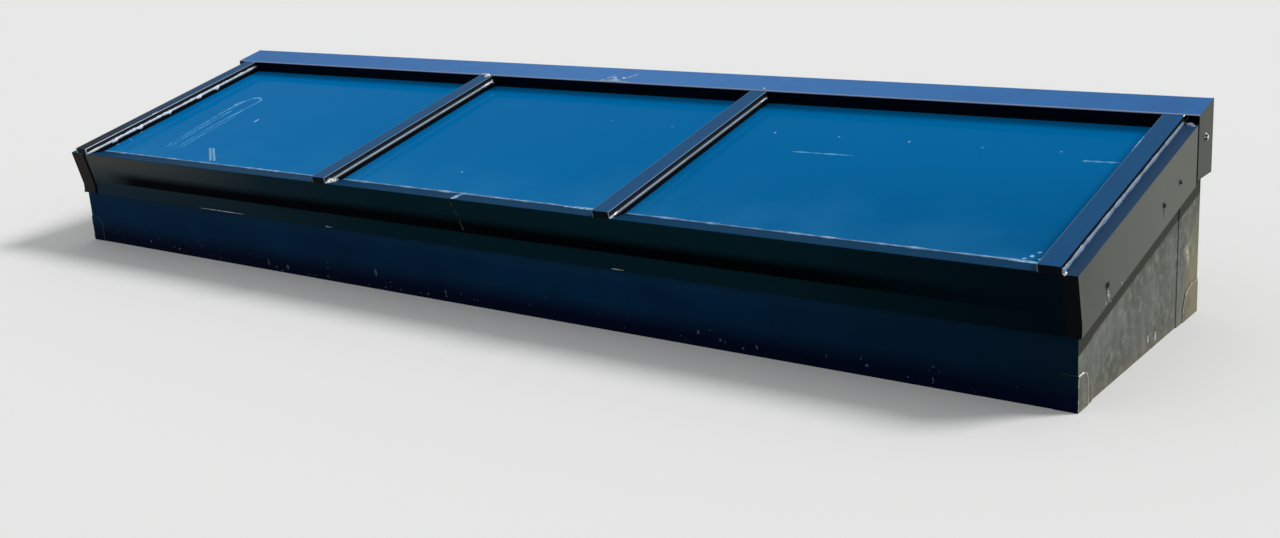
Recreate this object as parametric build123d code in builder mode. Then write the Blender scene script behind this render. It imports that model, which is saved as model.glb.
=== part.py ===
from build123d import *
import os
from math import ceil, cos, radians, sin, tan

# Fixed roof skylight with one slope and three bays of insulating glass.
# An aluminium rafter frame stands on a timber curb that is wrapped in roofing membrane.
# Folded sheet covers the front, both sides and the ridge.
# X runs along the eave, +Y up the slope and +Z up. The roof surface is Z = 0.
# A place on the slope is given as s, along the glass from above the curb's front face,
# and n, square out from the outer glass surface.

os.makedirs("parts", exist_ok=True)

# Whole unit, in millimetres
overall_length = 4000  # between the outer faces of the side flashings
curb_depth = 876  # front to back over the membrane
eave_height = 340  # of the outer glass plane above the roof, at the curb's front face
slope = radians(13)
flashing_overhang = 14  # side flashing face beyond the membrane
ridge_overhang = 56  # ridge cap beyond the back of the curb

# Curb
board = 38
nailer_width = 140
side_nailer_width = 89
membrane = 3
lap_front = 90  # front membrane carried round each corner
lap_back = 170
patch = 2
patch_leg_front = 60
patch_leg_back = 120
patch_height = 95

# Insulating glass
glass = 6
cavity = 14
spacer_width = 9
spacer_inset = 4
nosing_bite = 25  # glass held under the nosing
ridge_bite = 35  # glass held under the ridge cap
edge_gap = 6  # between a glass edge and the rail upstand
block_length = 100
block_share = 0.25  # setting block from each end of a bay, as a share of its width

# Glazing bars
bar_width = 60
bar_end_inset = 70  # centre of an end bar from the flashing face
bar_inner_offset = 594  # centre of an inner bar from the middle of the unit
rafter_depth = 80
wall = 3
seat_wall = 6
tongue_width = 12
tongue_rise = 8  # tongue above the outer glass
screw_slot = 4.6
screw_slot_depth = 26
glass_clearance = 6  # between a glass edge and the tongue
spigot_length = 60
spigot_wall = 5
slide_gap = 0.3

# Gaskets
inner_gasket = 6
rail_gasket_width = 20
outer_gasket = 16
gasket_inset = 3  # gasket edge inside the bar's edge
tongue_clearance = 2
bulb_width = 9
bulb_height = 8
race_width = 4
race_depth = 3
tape_width = 10
tape_height = 6

# Pressure plates and snap caps
plate_height = 19
plate_base = 5
nib = 1
nib_height = 2
reveal = 4.5  # dark groove between plate and cap
cap_thickness = 2.5
cap_leg = 1.6
cap_leg_depth = 12
cap_edge_round = 0.8
plate_tail = 30  # plate beyond the upper glass edge
cap_tail = 40
end_tab = 18
end_tab_width = 40

# Rails
seat_depth = 46  # sill rail behind its upstand line
head_seat_depth = 80
upstand_rise = 4

# Folded sheet
sheet = 2
fold_radius = 3
corner_round = 1.5
front_reach = 32  # front face ahead of the curb face
front_rise = 22  # top of the front and side flashings above the glass plane
nosing_reach = 39  # where the nosing meets the glass
skirt_drop = 30  # drip edge below the rafters' underside, square to the slope
skirt_kick = 3
skirt_kick_height = 8
skirt_standoff = 6.4  # skirt face ahead of the membrane
bead_width = 7
bead_height = 3.5
splice_gap = 1
splice_width = 100
splice_margin = 10

# Ridge cap
ridge_depth = 121.5
ridge_lap = 35  # back leg below the top of the curb
ridge_slot = 8  # gap between side flashing and ridge end
ridge_return = 12
lip_clearance = 0.5

# Fixings: shanks and their holes have twelve flat sides, which keeps the repeats light
shank_sides = 12
plate_screw_hole = 5.5
plate_screw_reach = 20  # into the slot of the tongue
plate_screw_head = 8
plate_screw_head_height = 4
plate_screw_pitch = 250
plate_screw_edge = 50
anchor_screw = 8
anchor_head = 13
anchor_head_height = 5
anchor_length = 38
anchor_pitch = 750
anchor_edge = 130
anchor_inset = 35  # from the front of the ridge rail
side_screw = 5
side_screw_head = 9
side_screw_head_height = 5
side_screw_washer = 16
side_screw_washer_height = 1.5
side_screw_length = 30
side_screw_front = (131, 53)  # behind the curb's front face, above the flashing's lower edge
side_screws_back = [(291, 66), (165, 72)]  # ahead of the flange's upper end, above the lower edge
ridge_screw_back = 60  # ridge end screw ahead of the ridge cap's back face
ridge_screw_drop = 38  # below the glass plane
packer_margin = 10  # side packer beyond the ridge end screw

# Levels square to the slope
n_inner = -(glass + cavity + glass)
n_seat = n_inner - inner_gasket
n_base = n_seat - rafter_depth
n_nailer = n_base - membrane
n_board = n_nailer - board
n_plate = outer_gasket + plate_height
n_cap = n_plate + reveal + cap_thickness
n_ridge = n_cap + sheet
n_band = n_base - skirt_drop

# Places along X
half_length = overall_length / 2
half_curb = half_length - flashing_overhang
half_board = half_curb - membrane
half_lap = half_curb + membrane
half_frame = half_length - bar_end_inset + bar_width / 2
bar_end = half_length - bar_end_inset
bars = {
    "left_end": -bar_end,
    "inner_left": -bar_inner_offset,
    "inner_right": bar_inner_offset,
    "right_end": bar_end,
}
bar_places = list(bars.values())
bays = dict(zip(("left", "middle", "right"), zip(bar_places, bar_places[1:])))
bar_inside = bar_width / 2 - wall
tongue_half = tongue_width / 2
lite_edge = tongue_half + glass_clearance
gasket_low = tongue_half + tongue_clearance
gasket_high = bar_width / 2 - gasket_inset
gasket_middle = (gasket_low + gasket_high) / 2
gasket_half = (gasket_high - gasket_low) / 2

# Places along Y, with the whole unit centred
front_top = front_reach * cos(slope) + n_cap * sin(slope)
overall_depth = front_top + curb_depth + ridge_overhang
y_front = -overall_depth / 2 + front_top
y_back = y_front + curb_depth
y_ridge = y_back + ridge_overhang


def yz(s, n):
    """Y and Z of the point s along the slope and n out from the glass"""
    return (y_front + s * cos(slope) - n * sin(slope), eave_height + s * sin(slope) + n * cos(slope))


def sn(y, z):
    """Place on the slope of a point given by Y and Z"""
    run = y - y_front
    rise = z - eave_height
    return (run * cos(slope) + rise * sin(slope), rise * cos(slope) - run * sin(slope))


def level(y, n):
    """Height of the plane n out from the glass, at Y"""
    return eave_height + (y - y_front) * tan(slope) + n / cos(slope)


def s_at(y, n):
    """Distance along the slope of the point n out from the glass, at Y"""
    return (y - y_front + n * sin(slope)) / cos(slope)


def section(x):
    """Sketch plane across the slope's length: local x is s and local y is n"""
    return Plane(origin=(x, y_front, eave_height), x_dir=(0, cos(slope), sin(slope)), z_dir=(1, 0, 0))


def plumb(x):
    """Upright sketch plane: local x is Y and local y is Z"""
    return Plane(origin=(x, 0, 0), x_dir=(0, 1, 0), z_dir=(1, 0, 0))


def up_slope(x, s):
    """Sketch plane square to a bar: local y is n, and extruding goes up the slope"""
    return Plane(origin=(x, *yz(s, 0)), x_dir=(-1, 0, 0), z_dir=(0, cos(slope), sin(slope)))


def on_slope(n):
    """Sketch plane parallel to the glass: local x is X and local y is s"""
    return Plane(origin=(0, *yz(0, n)), x_dir=(1, 0, 0), z_dir=(0, -sin(slope), cos(slope)))


def box_points(low_x, high_x, low_y, high_y):
    """Corners of a rectangle between two pairs of limits"""
    return [(low_x, low_y), (high_x, low_y), (high_x, high_y), (low_x, high_y)]


def spread(low, high, pitch):
    """Even places from low to high, no further apart than pitch"""
    count = ceil((high - low) / pitch)
    return [low + (high - low) * step / count for step in range(count + 1)]


def save(piece, name):
    """Label a finished piece and write it"""
    piece.label = name
    export_step(piece, f"parts/{name}.step")


def edges_on(piece, x, n):
    """Edges of a piece that lie along the line at X = x, n out from the glass"""
    def holds(edge):
        return all(abs(v.X - x) < 0.01 and abs(sn(v.Y, v.Z)[1] - n) < 0.01 for v in edge.vertices())
    return ShapeList(edge for edge in piece.edges() if holds(edge))


# Places along the slope
s_glass = nosing_reach - nosing_bite
s_ridge_back = s_at(y_ridge, n_ridge)
s_lip = s_ridge_back - ridge_depth
s_glass_top = s_lip + ridge_bite
s_upstand = s_glass - edge_gap
s_rail_back = s_glass + seat_depth
s_head = s_glass_top - head_seat_depth
s_head_upstand = s_glass_top + edge_gap
s_front = -front_reach
s_front_inner = s_front + sheet
s_rail_front = s_front_inner + sheet
s_plate_end = s_glass_top + plate_tail
s_cap_end = s_glass_top + cap_tail
s_ridge_screw = s_at(y_ridge - ridge_screw_back, -ridge_screw_drop)
s_packer_end = s_ridge_screw + packer_margin
y_inner_back = y_ridge - sheet
y_ridge_front = yz(s_lip, n_ridge)[0]
y_slot = y_ridge_front - ridge_slot
s_flange_end = s_at(y_slot, front_rise)
z_leg = level(y_back, n_base) - ridge_lap
glass_length = s_glass_top - s_glass

# Curb boards: front and back run through, the wedge-shaped sides stand between them
for name, y_low in (("front", y_front + membrane), ("back", y_back - membrane - board)):
    with BuildPart() as curb_board:
        with BuildSketch(plumb(-half_board)):
            y_high = y_low + board
            Polygon((y_low, 0), (y_high, 0), (y_high, level(y_high, n_board)), (y_low, level(y_low, n_board)),
                    align=None)
        extrude(amount=2 * half_board)
    save(curb_board.part, f"curb_board_{name}")

for name, x_low in (("left", -half_board), ("right", half_board - board)):
    with BuildPart() as curb_board:
        with BuildSketch(plumb(x_low)):
            y_low = y_front + membrane + board
            y_high = y_back - membrane - board
            Polygon((y_low, 0), (y_high, 0), (y_high, level(y_high, n_board)), (y_low, level(y_low, n_board)),
                    align=None)
        extrude(amount=board)
    save(curb_board.part, f"curb_board_{name}")

# Anchor screws hold the two rails down to the nailers
anchor_x = spread(-half_frame + anchor_edge, half_frame - anchor_edge, anchor_pitch)
anchor_rows = [(s_upstand + s_rail_back) / 2, s_head + anchor_inset]
anchor_places = [(x, s) for x in anchor_x for s in anchor_rows]
n_anchor_foot = n_base + wall - anchor_length

# Sloped nailers on the boards, laid flat as a frame
y_nailer_front = y_front + membrane + nailer_width
y_nailer_back = y_back - membrane - nailer_width
for name, y_low in (("front", y_front + membrane), ("back", y_nailer_back)):
    with BuildPart() as nailer:
        with BuildSketch(plumb(-half_board)):
            y_high = y_low + nailer_width
            Polygon((y_low, level(y_low, n_board)), (y_high, level(y_high, n_board)),
                    (y_high, level(y_high, n_nailer)), (y_low, level(y_low, n_nailer)), align=None)
        extrude(amount=2 * half_board)
        with BuildSketch(on_slope(n_nailer)):
            with Locations(*anchor_places):
                RegularPolygon(anchor_screw / 2, shank_sides)
        extrude(amount=n_anchor_foot - n_nailer, mode=Mode.SUBTRACT)
    save(nailer.part, f"nailer_{name}")

for name, x_low in (("left", -half_board), ("right", half_board - side_nailer_width)):
    with BuildPart() as nailer:
        with BuildSketch(plumb(x_low)):
            Polygon((y_nailer_front, level(y_nailer_front, n_board)),
                    (y_nailer_back, level(y_nailer_back, n_board)),
                    (y_nailer_back, level(y_nailer_back, n_nailer)),
                    (y_nailer_front, level(y_nailer_front, n_nailer)), align=None)
        extrude(amount=side_nailer_width)
    save(nailer.part, f"nailer_{name}")

# Roofing membrane: dressed up each face of the curb and folded in over the nailer.
# The front and back sheets lap round the corners over the side sheets.
for name, y_face, inward, lap in (("front", y_front, 1, lap_front), ("back", y_back, -1, lap_back)):
    y_core = y_face + inward * membrane
    y_fold = y_core + inward * nailer_width
    with BuildPart() as membrane_sheet:
        with BuildSketch(plumb(-half_board)):
            Polygon((y_face, 0), (y_face, level(y_face, n_base)), (y_fold, level(y_fold, n_base)),
                    (y_fold, level(y_fold, n_nailer)), (y_core, level(y_core, n_nailer)), (y_core, 0),
                    align=None)
        extrude(amount=2 * half_board)
        with BuildSketch(on_slope(n_base)):
            with Locations(*anchor_places):
                RegularPolygon(anchor_screw / 2, shank_sides)
        extrude(amount=-membrane, mode=Mode.SUBTRACT)
        y_lap = y_face + inward * lap
        for side in (-1, 1):
            with BuildSketch(plumb(side * half_board)):
                Polygon((y_face, 0), (y_core, 0), (y_core, level(y_core, n_base)),
                        (y_face, level(y_face, n_base)), align=None)
            extrude(amount=side * (half_lap - half_board))
            with BuildSketch(plumb(side * half_curb)):
                Polygon((y_face, 0), (y_lap, 0), (y_lap, level(y_lap, n_base)),
                        (y_face, level(y_face, n_base)), align=None)
            extrude(amount=side * membrane)
    save(membrane_sheet.part, f"membrane_{name}")

for name, side in (("left", -1), ("right", 1)):
    with BuildPart() as membrane_sheet:
        with BuildSketch(plumb(side * half_board)):
            y_low = y_front + membrane
            y_high = y_back - membrane
            Polygon((y_low, 0), (y_high, 0), (y_high, level(y_high, n_base)), (y_low, level(y_low, n_base)),
                    align=None)
        extrude(amount=side * membrane)
        with BuildSketch(plumb(side * half_board)):
            Polygon((y_nailer_front, level(y_nailer_front, n_nailer)),
                    (y_nailer_back, level(y_nailer_back, n_nailer)),
                    (y_nailer_back, level(y_nailer_back, n_base)),
                    (y_nailer_front, level(y_nailer_front, n_base)), align=None)
        extrude(amount=-side * side_nailer_width)
    save(membrane_sheet.part, f"membrane_{name}")

# Round-topped membrane patches wrapped around the foot of each curb corner
with BuildPart() as corner_patches:
    for x_sign in (-1, 1):
        for y_corner, y_sign, patch_leg in ((y_front, -1, patch_leg_front), (y_back, 1, patch_leg_back)):
            x_corner = x_sign * half_lap
            with BuildSketch(plumb(x_corner)):
                y_inner = y_corner - y_sign * patch_leg
                y_outer = y_corner + y_sign * patch
                y_span = sorted((y_inner, y_outer))
                Polygon(*box_points(*y_span, 0, patch_height), align=None)
                far_corner = vertices().group_by(Axis.Y)[-1].sort_by(Axis.X)[0 if y_sign > 0 else -1]
                fillet(far_corner, patch_leg / 2)
            extrude(amount=x_sign * patch)
            with BuildSketch(Plane(origin=(0, y_corner, 0), x_dir=(1, 0, 0), z_dir=(0, -1, 0))):
                x_span = sorted((x_corner, x_corner - x_sign * patch_leg))
                Polygon(*box_points(*x_span, 0, patch_height), align=None)
                far_corner = vertices().group_by(Axis.Y)[-1].sort_by(Axis.X)[0 if x_sign > 0 else -1]
                fillet(far_corner, patch_leg / 2)
            extrude(amount=-y_sign * patch)
save(corner_patches.part, "corner_patches")

# Sill rail: hollow extrusion with a glass seat and a front upstand
with BuildPart() as sill_rail:
    with BuildSketch(section(-half_frame)):
        Polygon((s_rail_front, n_base), (s_rail_back, n_base), (s_rail_back, n_seat), (s_upstand, n_seat),
                (s_upstand, upstand_rise), (s_rail_front, upstand_rise), align=None)
        Polygon(*box_points(s_rail_front + wall, s_upstand - wall, n_seat + wall, upstand_rise - wall),
                align=None, mode=Mode.SUBTRACT)
        Polygon(*box_points(s_rail_front + wall, s_upstand, n_base + wall, n_seat - seat_wall),
                align=None, mode=Mode.SUBTRACT)
        Polygon(*box_points(s_upstand + wall, s_rail_back - wall, n_base + wall, n_seat - seat_wall),
                align=None, mode=Mode.SUBTRACT)
    extrude(amount=2 * half_frame)
    with BuildSketch(on_slope(n_base)):
        with Locations(*[(x, anchor_rows[0]) for x in anchor_x]):
            RegularPolygon(anchor_screw / 2, shank_sides)
    extrude(amount=wall, mode=Mode.SUBTRACT)
save(sill_rail.part, "sill_rail")

# Ridge rail: the same idea at the head, with a plumb back that carries the ridge cap
with BuildPart() as ridge_rail:
    with BuildSketch(section(-half_frame)):
        Polygon((s_head, n_base), (s_at(y_inner_back, n_base), n_base),
                (s_at(y_inner_back, upstand_rise), upstand_rise), (s_head_upstand, upstand_rise),
                (s_head_upstand, n_seat), (s_head, n_seat), align=None)
        Polygon((s_head_upstand + wall, n_seat + wall),
                (s_at(y_inner_back - wall, n_seat + wall), n_seat + wall),
                (s_at(y_inner_back - wall, upstand_rise - wall), upstand_rise - wall),
                (s_head_upstand + wall, upstand_rise - wall), align=None, mode=Mode.SUBTRACT)
        Polygon(*box_points(s_head + wall, s_head_upstand - wall, n_base + wall, n_seat - seat_wall),
                align=None, mode=Mode.SUBTRACT)
        Polygon((s_head_upstand, n_base + wall), (s_at(y_inner_back - wall, n_base + wall), n_base + wall),
                (s_at(y_inner_back - wall, n_seat - wall), n_seat - wall), (s_head_upstand, n_seat - wall),
                align=None, mode=Mode.SUBTRACT)
    extrude(amount=2 * half_frame)
    with BuildSketch(on_slope(n_base)):
        with Locations(*[(x, anchor_rows[1]) for x in anchor_x]):
            RegularPolygon(anchor_screw / 2, shank_sides)
    extrude(amount=wall, mode=Mode.SUBTRACT)
save(ridge_rail.part, "ridge_rail")

with BuildPart() as anchor_screws:
    with BuildSketch(on_slope(n_base + wall)):
        with Locations(*anchor_places):
            RegularPolygon(anchor_head / 2, 6, major_radius=False)
    extrude(amount=anchor_head_height)
    with BuildSketch(on_slope(n_base + wall)):
        with Locations(*anchor_places):
            RegularPolygon(anchor_screw / 2, shank_sides)
    extrude(amount=-anchor_length)
save(anchor_screws.part, "anchor_screws")

# Rafters: box extrusion, gasket races in the seat and a slotted tongue between the lites
for name, x in bars.items():
    with BuildPart() as rafter:
        with BuildSketch(up_slope(x, s_rail_back)):
            Polygon(*box_points(-bar_width / 2, bar_width / 2, n_base, n_seat), align=None)
            Polygon(*box_points(-tongue_half, tongue_half, n_seat, tongue_rise), align=None)
            Polygon(*box_points(-screw_slot / 2, screw_slot / 2, tongue_rise - screw_slot_depth, tongue_rise),
                    align=None, mode=Mode.SUBTRACT)
            Polygon(*box_points(-bar_inside, bar_inside, n_base + wall, n_seat - seat_wall),
                    align=None, mode=Mode.SUBTRACT)
            for side in (-1, 1):
                race_low = side * gasket_middle - race_width / 2
                Polygon(*box_points(race_low, race_low + race_width, n_seat - race_depth, n_seat),
                        align=None, mode=Mode.SUBTRACT)
        extrude(amount=s_head - s_rail_back)
    save(rafter.part, f"rafter_{name}")

# Spigots slide into both ends of every rafter and are fixed to the rails
with BuildPart() as rafter_spigots:
    spigot_half = bar_inside - slide_gap
    spigot_low = n_base + wall
    spigot_high = n_seat - seat_wall - slide_gap
    for x in bar_places:
        for s in (s_rail_back, s_head - spigot_length):
            with BuildSketch(up_slope(x, s)):
                Polygon(*box_points(-spigot_half, spigot_half, spigot_low, spigot_high), align=None)
                Polygon(*box_points(spigot_wall - spigot_half, spigot_half - spigot_wall,
                                    spigot_low + spigot_wall, spigot_high - spigot_wall),
                        align=None, mode=Mode.SUBTRACT)
            extrude(amount=spigot_length)
save(rafter_spigots.part, "rafter_spigots")

# Insulating glass: an outer and an inner lite with a bar spacer between their edges
for name, (x_low, x_high) in bays.items():
    middle = (x_low + x_high) / 2
    width = x_high - x_low - 2 * lite_edge
    s_middle = s_glass + glass_length / 2
    for lite_name, n_low in (("outer_lite", -glass), ("inner_lite", n_inner)):
        with BuildPart() as lite:
            with BuildSketch(on_slope(n_low)):
                with Locations((middle, s_middle)):
                    Rectangle(width, glass_length)
            extrude(amount=glass)
        save(lite.part, f"{lite_name}_{name}")
    with BuildPart() as spacer:
        with BuildSketch(on_slope(n_inner + glass)):
            with Locations((middle, s_middle)):
                Rectangle(width - 2 * spacer_inset, glass_length - 2 * spacer_inset)
                Rectangle(width - 2 * (spacer_inset + spacer_width),
                          glass_length - 2 * (spacer_inset + spacer_width), mode=Mode.SUBTRACT)
        extrude(amount=cavity)
    save(spacer.part, f"spacer_{name}")

# Setting blocks carry the lower edge of each unit at its quarter points
with BuildPart() as setting_blocks:
    for x_low, x_high in bays.values():
        inset = (x_high - x_low) * block_share
        for middle in (x_low + inset, x_high - inset):
            with BuildSketch(section(middle - block_length / 2)):
                Polygon(*box_points(s_upstand, s_glass, n_seat, 0), align=None)
            extrude(amount=block_length)
save(setting_blocks.part, "setting_blocks")

# Inner gaskets: strips with a dart in the rafter's race, and flat strips on the rails
dart_half = race_width / 2 - slide_gap
dart_depth = race_depth - slide_gap
strip_sides = [(x, side) for x in bar_places for side in (-1, 1) if abs(x + side) < bar_end]
with BuildPart() as inner_gaskets:
    for x, side in strip_sides:
        middle = -side * gasket_middle
        with BuildSketch(up_slope(x, s_rail_back)):
            Polygon(*box_points(middle - gasket_half, middle + gasket_half, n_seat, n_inner), align=None)
            Polygon(*box_points(middle - dart_half, middle + dart_half, n_seat - dart_depth, n_seat),
                    align=None)
        extrude(amount=s_head - s_rail_back)
    for x_low, x_high in bays.values():
        for s_low in (s_glass, s_glass_top - rail_gasket_width):
            with BuildSketch(section(x_low + gasket_low)):
                Polygon(*box_points(s_low, s_low + rail_gasket_width, n_seat, n_inner), align=None)
            extrude(amount=x_high - x_low - 2 * gasket_low)
save(inner_gaskets.part, "inner_gaskets")

# Outer gaskets: tall black bulb strips between the glass and the pressure plates
with BuildPart() as outer_gaskets:
    for x in bar_places:
        for side in (-1, 1):
            middle = side * gasket_middle
            with BuildSketch(up_slope(x, s_glass)):
                Polygon(*box_points(middle - gasket_half, middle + gasket_half, 0, outer_gasket), align=None)
                with Locations((middle, outer_gasket / 2)):
                    RectangleRounded(bulb_width, bulb_height, bulb_height / 3, mode=Mode.SUBTRACT)
                Polygon(*box_points(middle - dart_half, middle + dart_half,
                                    outer_gasket, outer_gasket + dart_depth), align=None)
            extrude(amount=glass_length)
save(outer_gaskets.part, "outer_gaskets")

# Fillers stand in for the glass under the outer half of each end bar
with BuildPart() as edge_fillers:
    for side in (-1, 1):
        with BuildSketch(up_slope(side * bar_end, s_glass)):
            Polygon(*box_points(*sorted((-side * lite_edge, -side * bar_width / 2)), n_seat, 0), align=None)
        extrude(amount=glass_length)
save(edge_fillers.part, "edge_fillers")

# Pressure plates: open channels of bare aluminium, screwed to the tongues
screw_s = spread(s_rail_back + plate_screw_edge, s_head - plate_screw_edge, plate_screw_pitch)
for name, x in bars.items():
    with BuildPart() as pressure_plate:
        with BuildSketch(up_slope(x, s_front_inner)):
            Polygon(*box_points(-bar_width / 2, bar_width / 2, outer_gasket, n_plate), align=None)
            Polygon(*box_points(-bar_inside, bar_inside, outer_gasket + plate_base, n_plate),
                    align=None, mode=Mode.SUBTRACT)
            for side in (-1, 1):
                nib_span = sorted((side * bar_inside, side * (bar_inside - nib)))
                Polygon(*box_points(*nib_span, n_plate - nib_height, n_plate), align=None)
                race_low = side * gasket_middle - race_width / 2
                Polygon(*box_points(race_low, race_low + race_width, outer_gasket, outer_gasket + race_depth),
                        align=None, mode=Mode.SUBTRACT)
        extrude(amount=s_plate_end - s_front_inner)
        with BuildSketch(on_slope(outer_gasket)):
            with Locations(*[(x, s) for s in screw_s]):
                RegularPolygon(plate_screw_hole / 2, shank_sides)
        extrude(amount=plate_base, mode=Mode.SUBTRACT)
    save(pressure_plate.part, f"pressure_plate_{name}")

with BuildPart() as plate_screws:
    plate_screw_places = [(x, s) for x in bar_places for s in screw_s]
    with BuildSketch(on_slope(outer_gasket + plate_base)):
        with Locations(*plate_screw_places):
            RegularPolygon(plate_screw_head / 2, 6, major_radius=False)
    extrude(amount=plate_screw_head_height)
    with BuildSketch(on_slope(outer_gasket + plate_base)):
        with Locations(*plate_screw_places):
            RegularPolygon(screw_slot / 2, shank_sides)
    extrude(amount=tongue_rise - plate_screw_reach - outer_gasket - plate_base)
save(plate_screws.part, "plate_screws")

# Snap caps: flat painted covers with two hooked legs that click behind the plate's nibs
leg_outer = bar_inside - nib - slide_gap
leg_foot = n_plate + reveal - cap_leg_depth
hook_top = n_plate - nib_height - slide_gap
for name, x in bars.items():
    with BuildPart() as cap:
        with BuildSketch(up_slope(x, s_front_inner)):
            Polygon(*box_points(-bar_width / 2, bar_width / 2, n_plate + reveal, n_cap), align=None)
            fillet(vertices().group_by(Axis.Y)[-1], cap_edge_round)
            for side in (-1, 1):
                Polygon(*box_points(*sorted((side * leg_outer, side * (leg_outer - cap_leg))),
                                    leg_foot, n_plate + reveal), align=None)
                Polygon((side * leg_outer, hook_top), (side * (leg_outer + nib), hook_top),
                        (side * leg_outer, leg_foot), align=None)
        extrude(amount=s_cap_end - s_front_inner)
    save(cap.part, f"cap_{name}")

# Closures: dark plates on the lower ends of the bars, with a tab inside the channel
n_tab = outer_gasket + plate_base
for name, x in bars.items():
    with BuildPart() as cap_end:
        with BuildSketch(up_slope(x, s_front)):
            Polygon(*box_points(-bar_width / 2, bar_width / 2, front_rise - sheet, n_cap), align=None)
        extrude(amount=sheet)
        with BuildSketch(up_slope(x, s_front_inner)):
            Polygon(*box_points(-end_tab_width / 2, end_tab_width / 2, n_tab, n_tab + sheet), align=None)
        extrude(amount=end_tab)
    save(cap_end.part, f"cap_end_{name}")

# Front line shared by the fascia and the side flashings, from the top fold to the drip edge
y_skirt = y_front - skirt_standoff
z_drip = level(y_skirt - skirt_kick, n_band)
front_line = [(s_front, front_rise), (s_front, n_base),
              sn(y_skirt, z_drip + skirt_kick_height), sn(y_skirt - skirt_kick, z_drip)]

# Fascia: one folded sheet makes nosing, front face and skirt, in two lengths
fascia_lengths = {"left": (-half_frame, -splice_gap / 2), "right": (splice_gap / 2, half_frame)}
for name, (x_low, x_high) in fascia_lengths.items():
    with BuildPart() as fascia:
        with BuildSketch(section(x_low)):
            with BuildLine():
                FilletPolyline((nosing_reach, sheet), *front_line, radius=fold_radius)
                offset(amount=sheet, side=Side.LEFT)
            make_face()
        extrude(amount=x_high - x_low)
        for x in bar_places:
            with BuildSketch(section(x - bar_width / 2)):
                Polygon(*box_points(s_front_inner, nosing_reach + sheet, -sheet, front_rise + sheet),
                        align=None)
                Polygon(*box_points(s_front - sheet, s_front_inner, front_rise - sheet, front_rise + sheet),
                        align=None)
            extrude(amount=bar_width, mode=Mode.SUBTRACT)
    save(fascia.part, f"fascia_{name}")

with BuildPart() as fascia_splice:
    with BuildSketch(section(-splice_width / 2)):
        Polygon(*box_points(s_front_inner, s_rail_front, n_base + splice_margin, upstand_rise), align=None)
    extrude(amount=splice_width)
save(fascia_splice.part, "fascia_splice")

# Sealant bead along the back edge of the nosing in each bay
with BuildPart() as sill_beads:
    for x_low, x_high in bays.values():
        with BuildSketch(section(x_low + gasket_high)):
            Polygon((nosing_reach, 0), (nosing_reach + bead_width, 0), (nosing_reach, bead_height),
                    align=None)
        extrude(amount=x_high - x_low - 2 * gasket_high)
save(sill_beads.part, "sill_beads")

# Side packers fill the space between the end rafters and the side flashings
side_screw_places = [(side_screw_front[0], n_band + side_screw_front[1])]
side_screw_places += [(s_flange_end - ahead, n_band + above) for ahead, above in side_screws_back]
ridge_screw_place = (s_ridge_screw, -ridge_screw_drop)
flashing_screw_places = [*side_screw_places, ridge_screw_place]
for name, side in (("left", -1), ("right", 1)):
    with BuildPart() as side_packer:
        with BuildSketch(section(side * half_frame)):
            Polygon(*box_points(s_front_inner, s_packer_end, n_base, front_rise - sheet), align=None)
        extrude(amount=side * (half_length - half_frame - sheet))
        with BuildSketch(section(side * half_length)):
            with Locations(*flashing_screw_places):
                RegularPolygon(side_screw / 2, shank_sides)
        extrude(amount=-side * side_screw_length, mode=Mode.SUBTRACT)
    save(side_packer.part, f"side_packer_{name}")

# Side flashings: top flange, deep side face and a front return in line with the fascia
for name, side in (("left", -1), ("right", 1)):
    with BuildPart() as side_flashing:
        with BuildSketch(section(side * half_length)):
            with BuildLine():
                front_edge = FilletPolyline(*front_line, radius=fold_radius)
                Polyline(front_edge @ 1, (s_at(y_slot, n_band), n_band), (s_flange_end, front_rise),
                         front_edge @ 0)
            make_face()
        extrude(amount=-side * sheet)
        with BuildSketch(section(side * half_frame)):
            with BuildLine():
                FilletPolyline(*front_line, radius=fold_radius)
                offset(amount=sheet, side=Side.LEFT)
            make_face()
            Polygon(*box_points(s_front, s_flange_end, front_rise - sheet, front_rise), align=None)
        extrude(amount=side * (half_length - half_frame))
        with BuildSketch(section(side * half_frame)):
            Polygon(*box_points(s_front, s_glass_top, front_rise - sheet, front_rise), align=None)
        extrude(amount=side * (half_length - half_frame - 2 * sheet))
        fillet(edges_on(side_flashing.part, side * half_length, front_rise), corner_round)
        with BuildSketch(section(side * half_length)):
            with Locations(*side_screw_places):
                RegularPolygon(side_screw / 2, shank_sides)
        extrude(amount=-side * sheet, mode=Mode.SUBTRACT)
    save(side_flashing.part, f"side_flashing_{name}")

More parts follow.
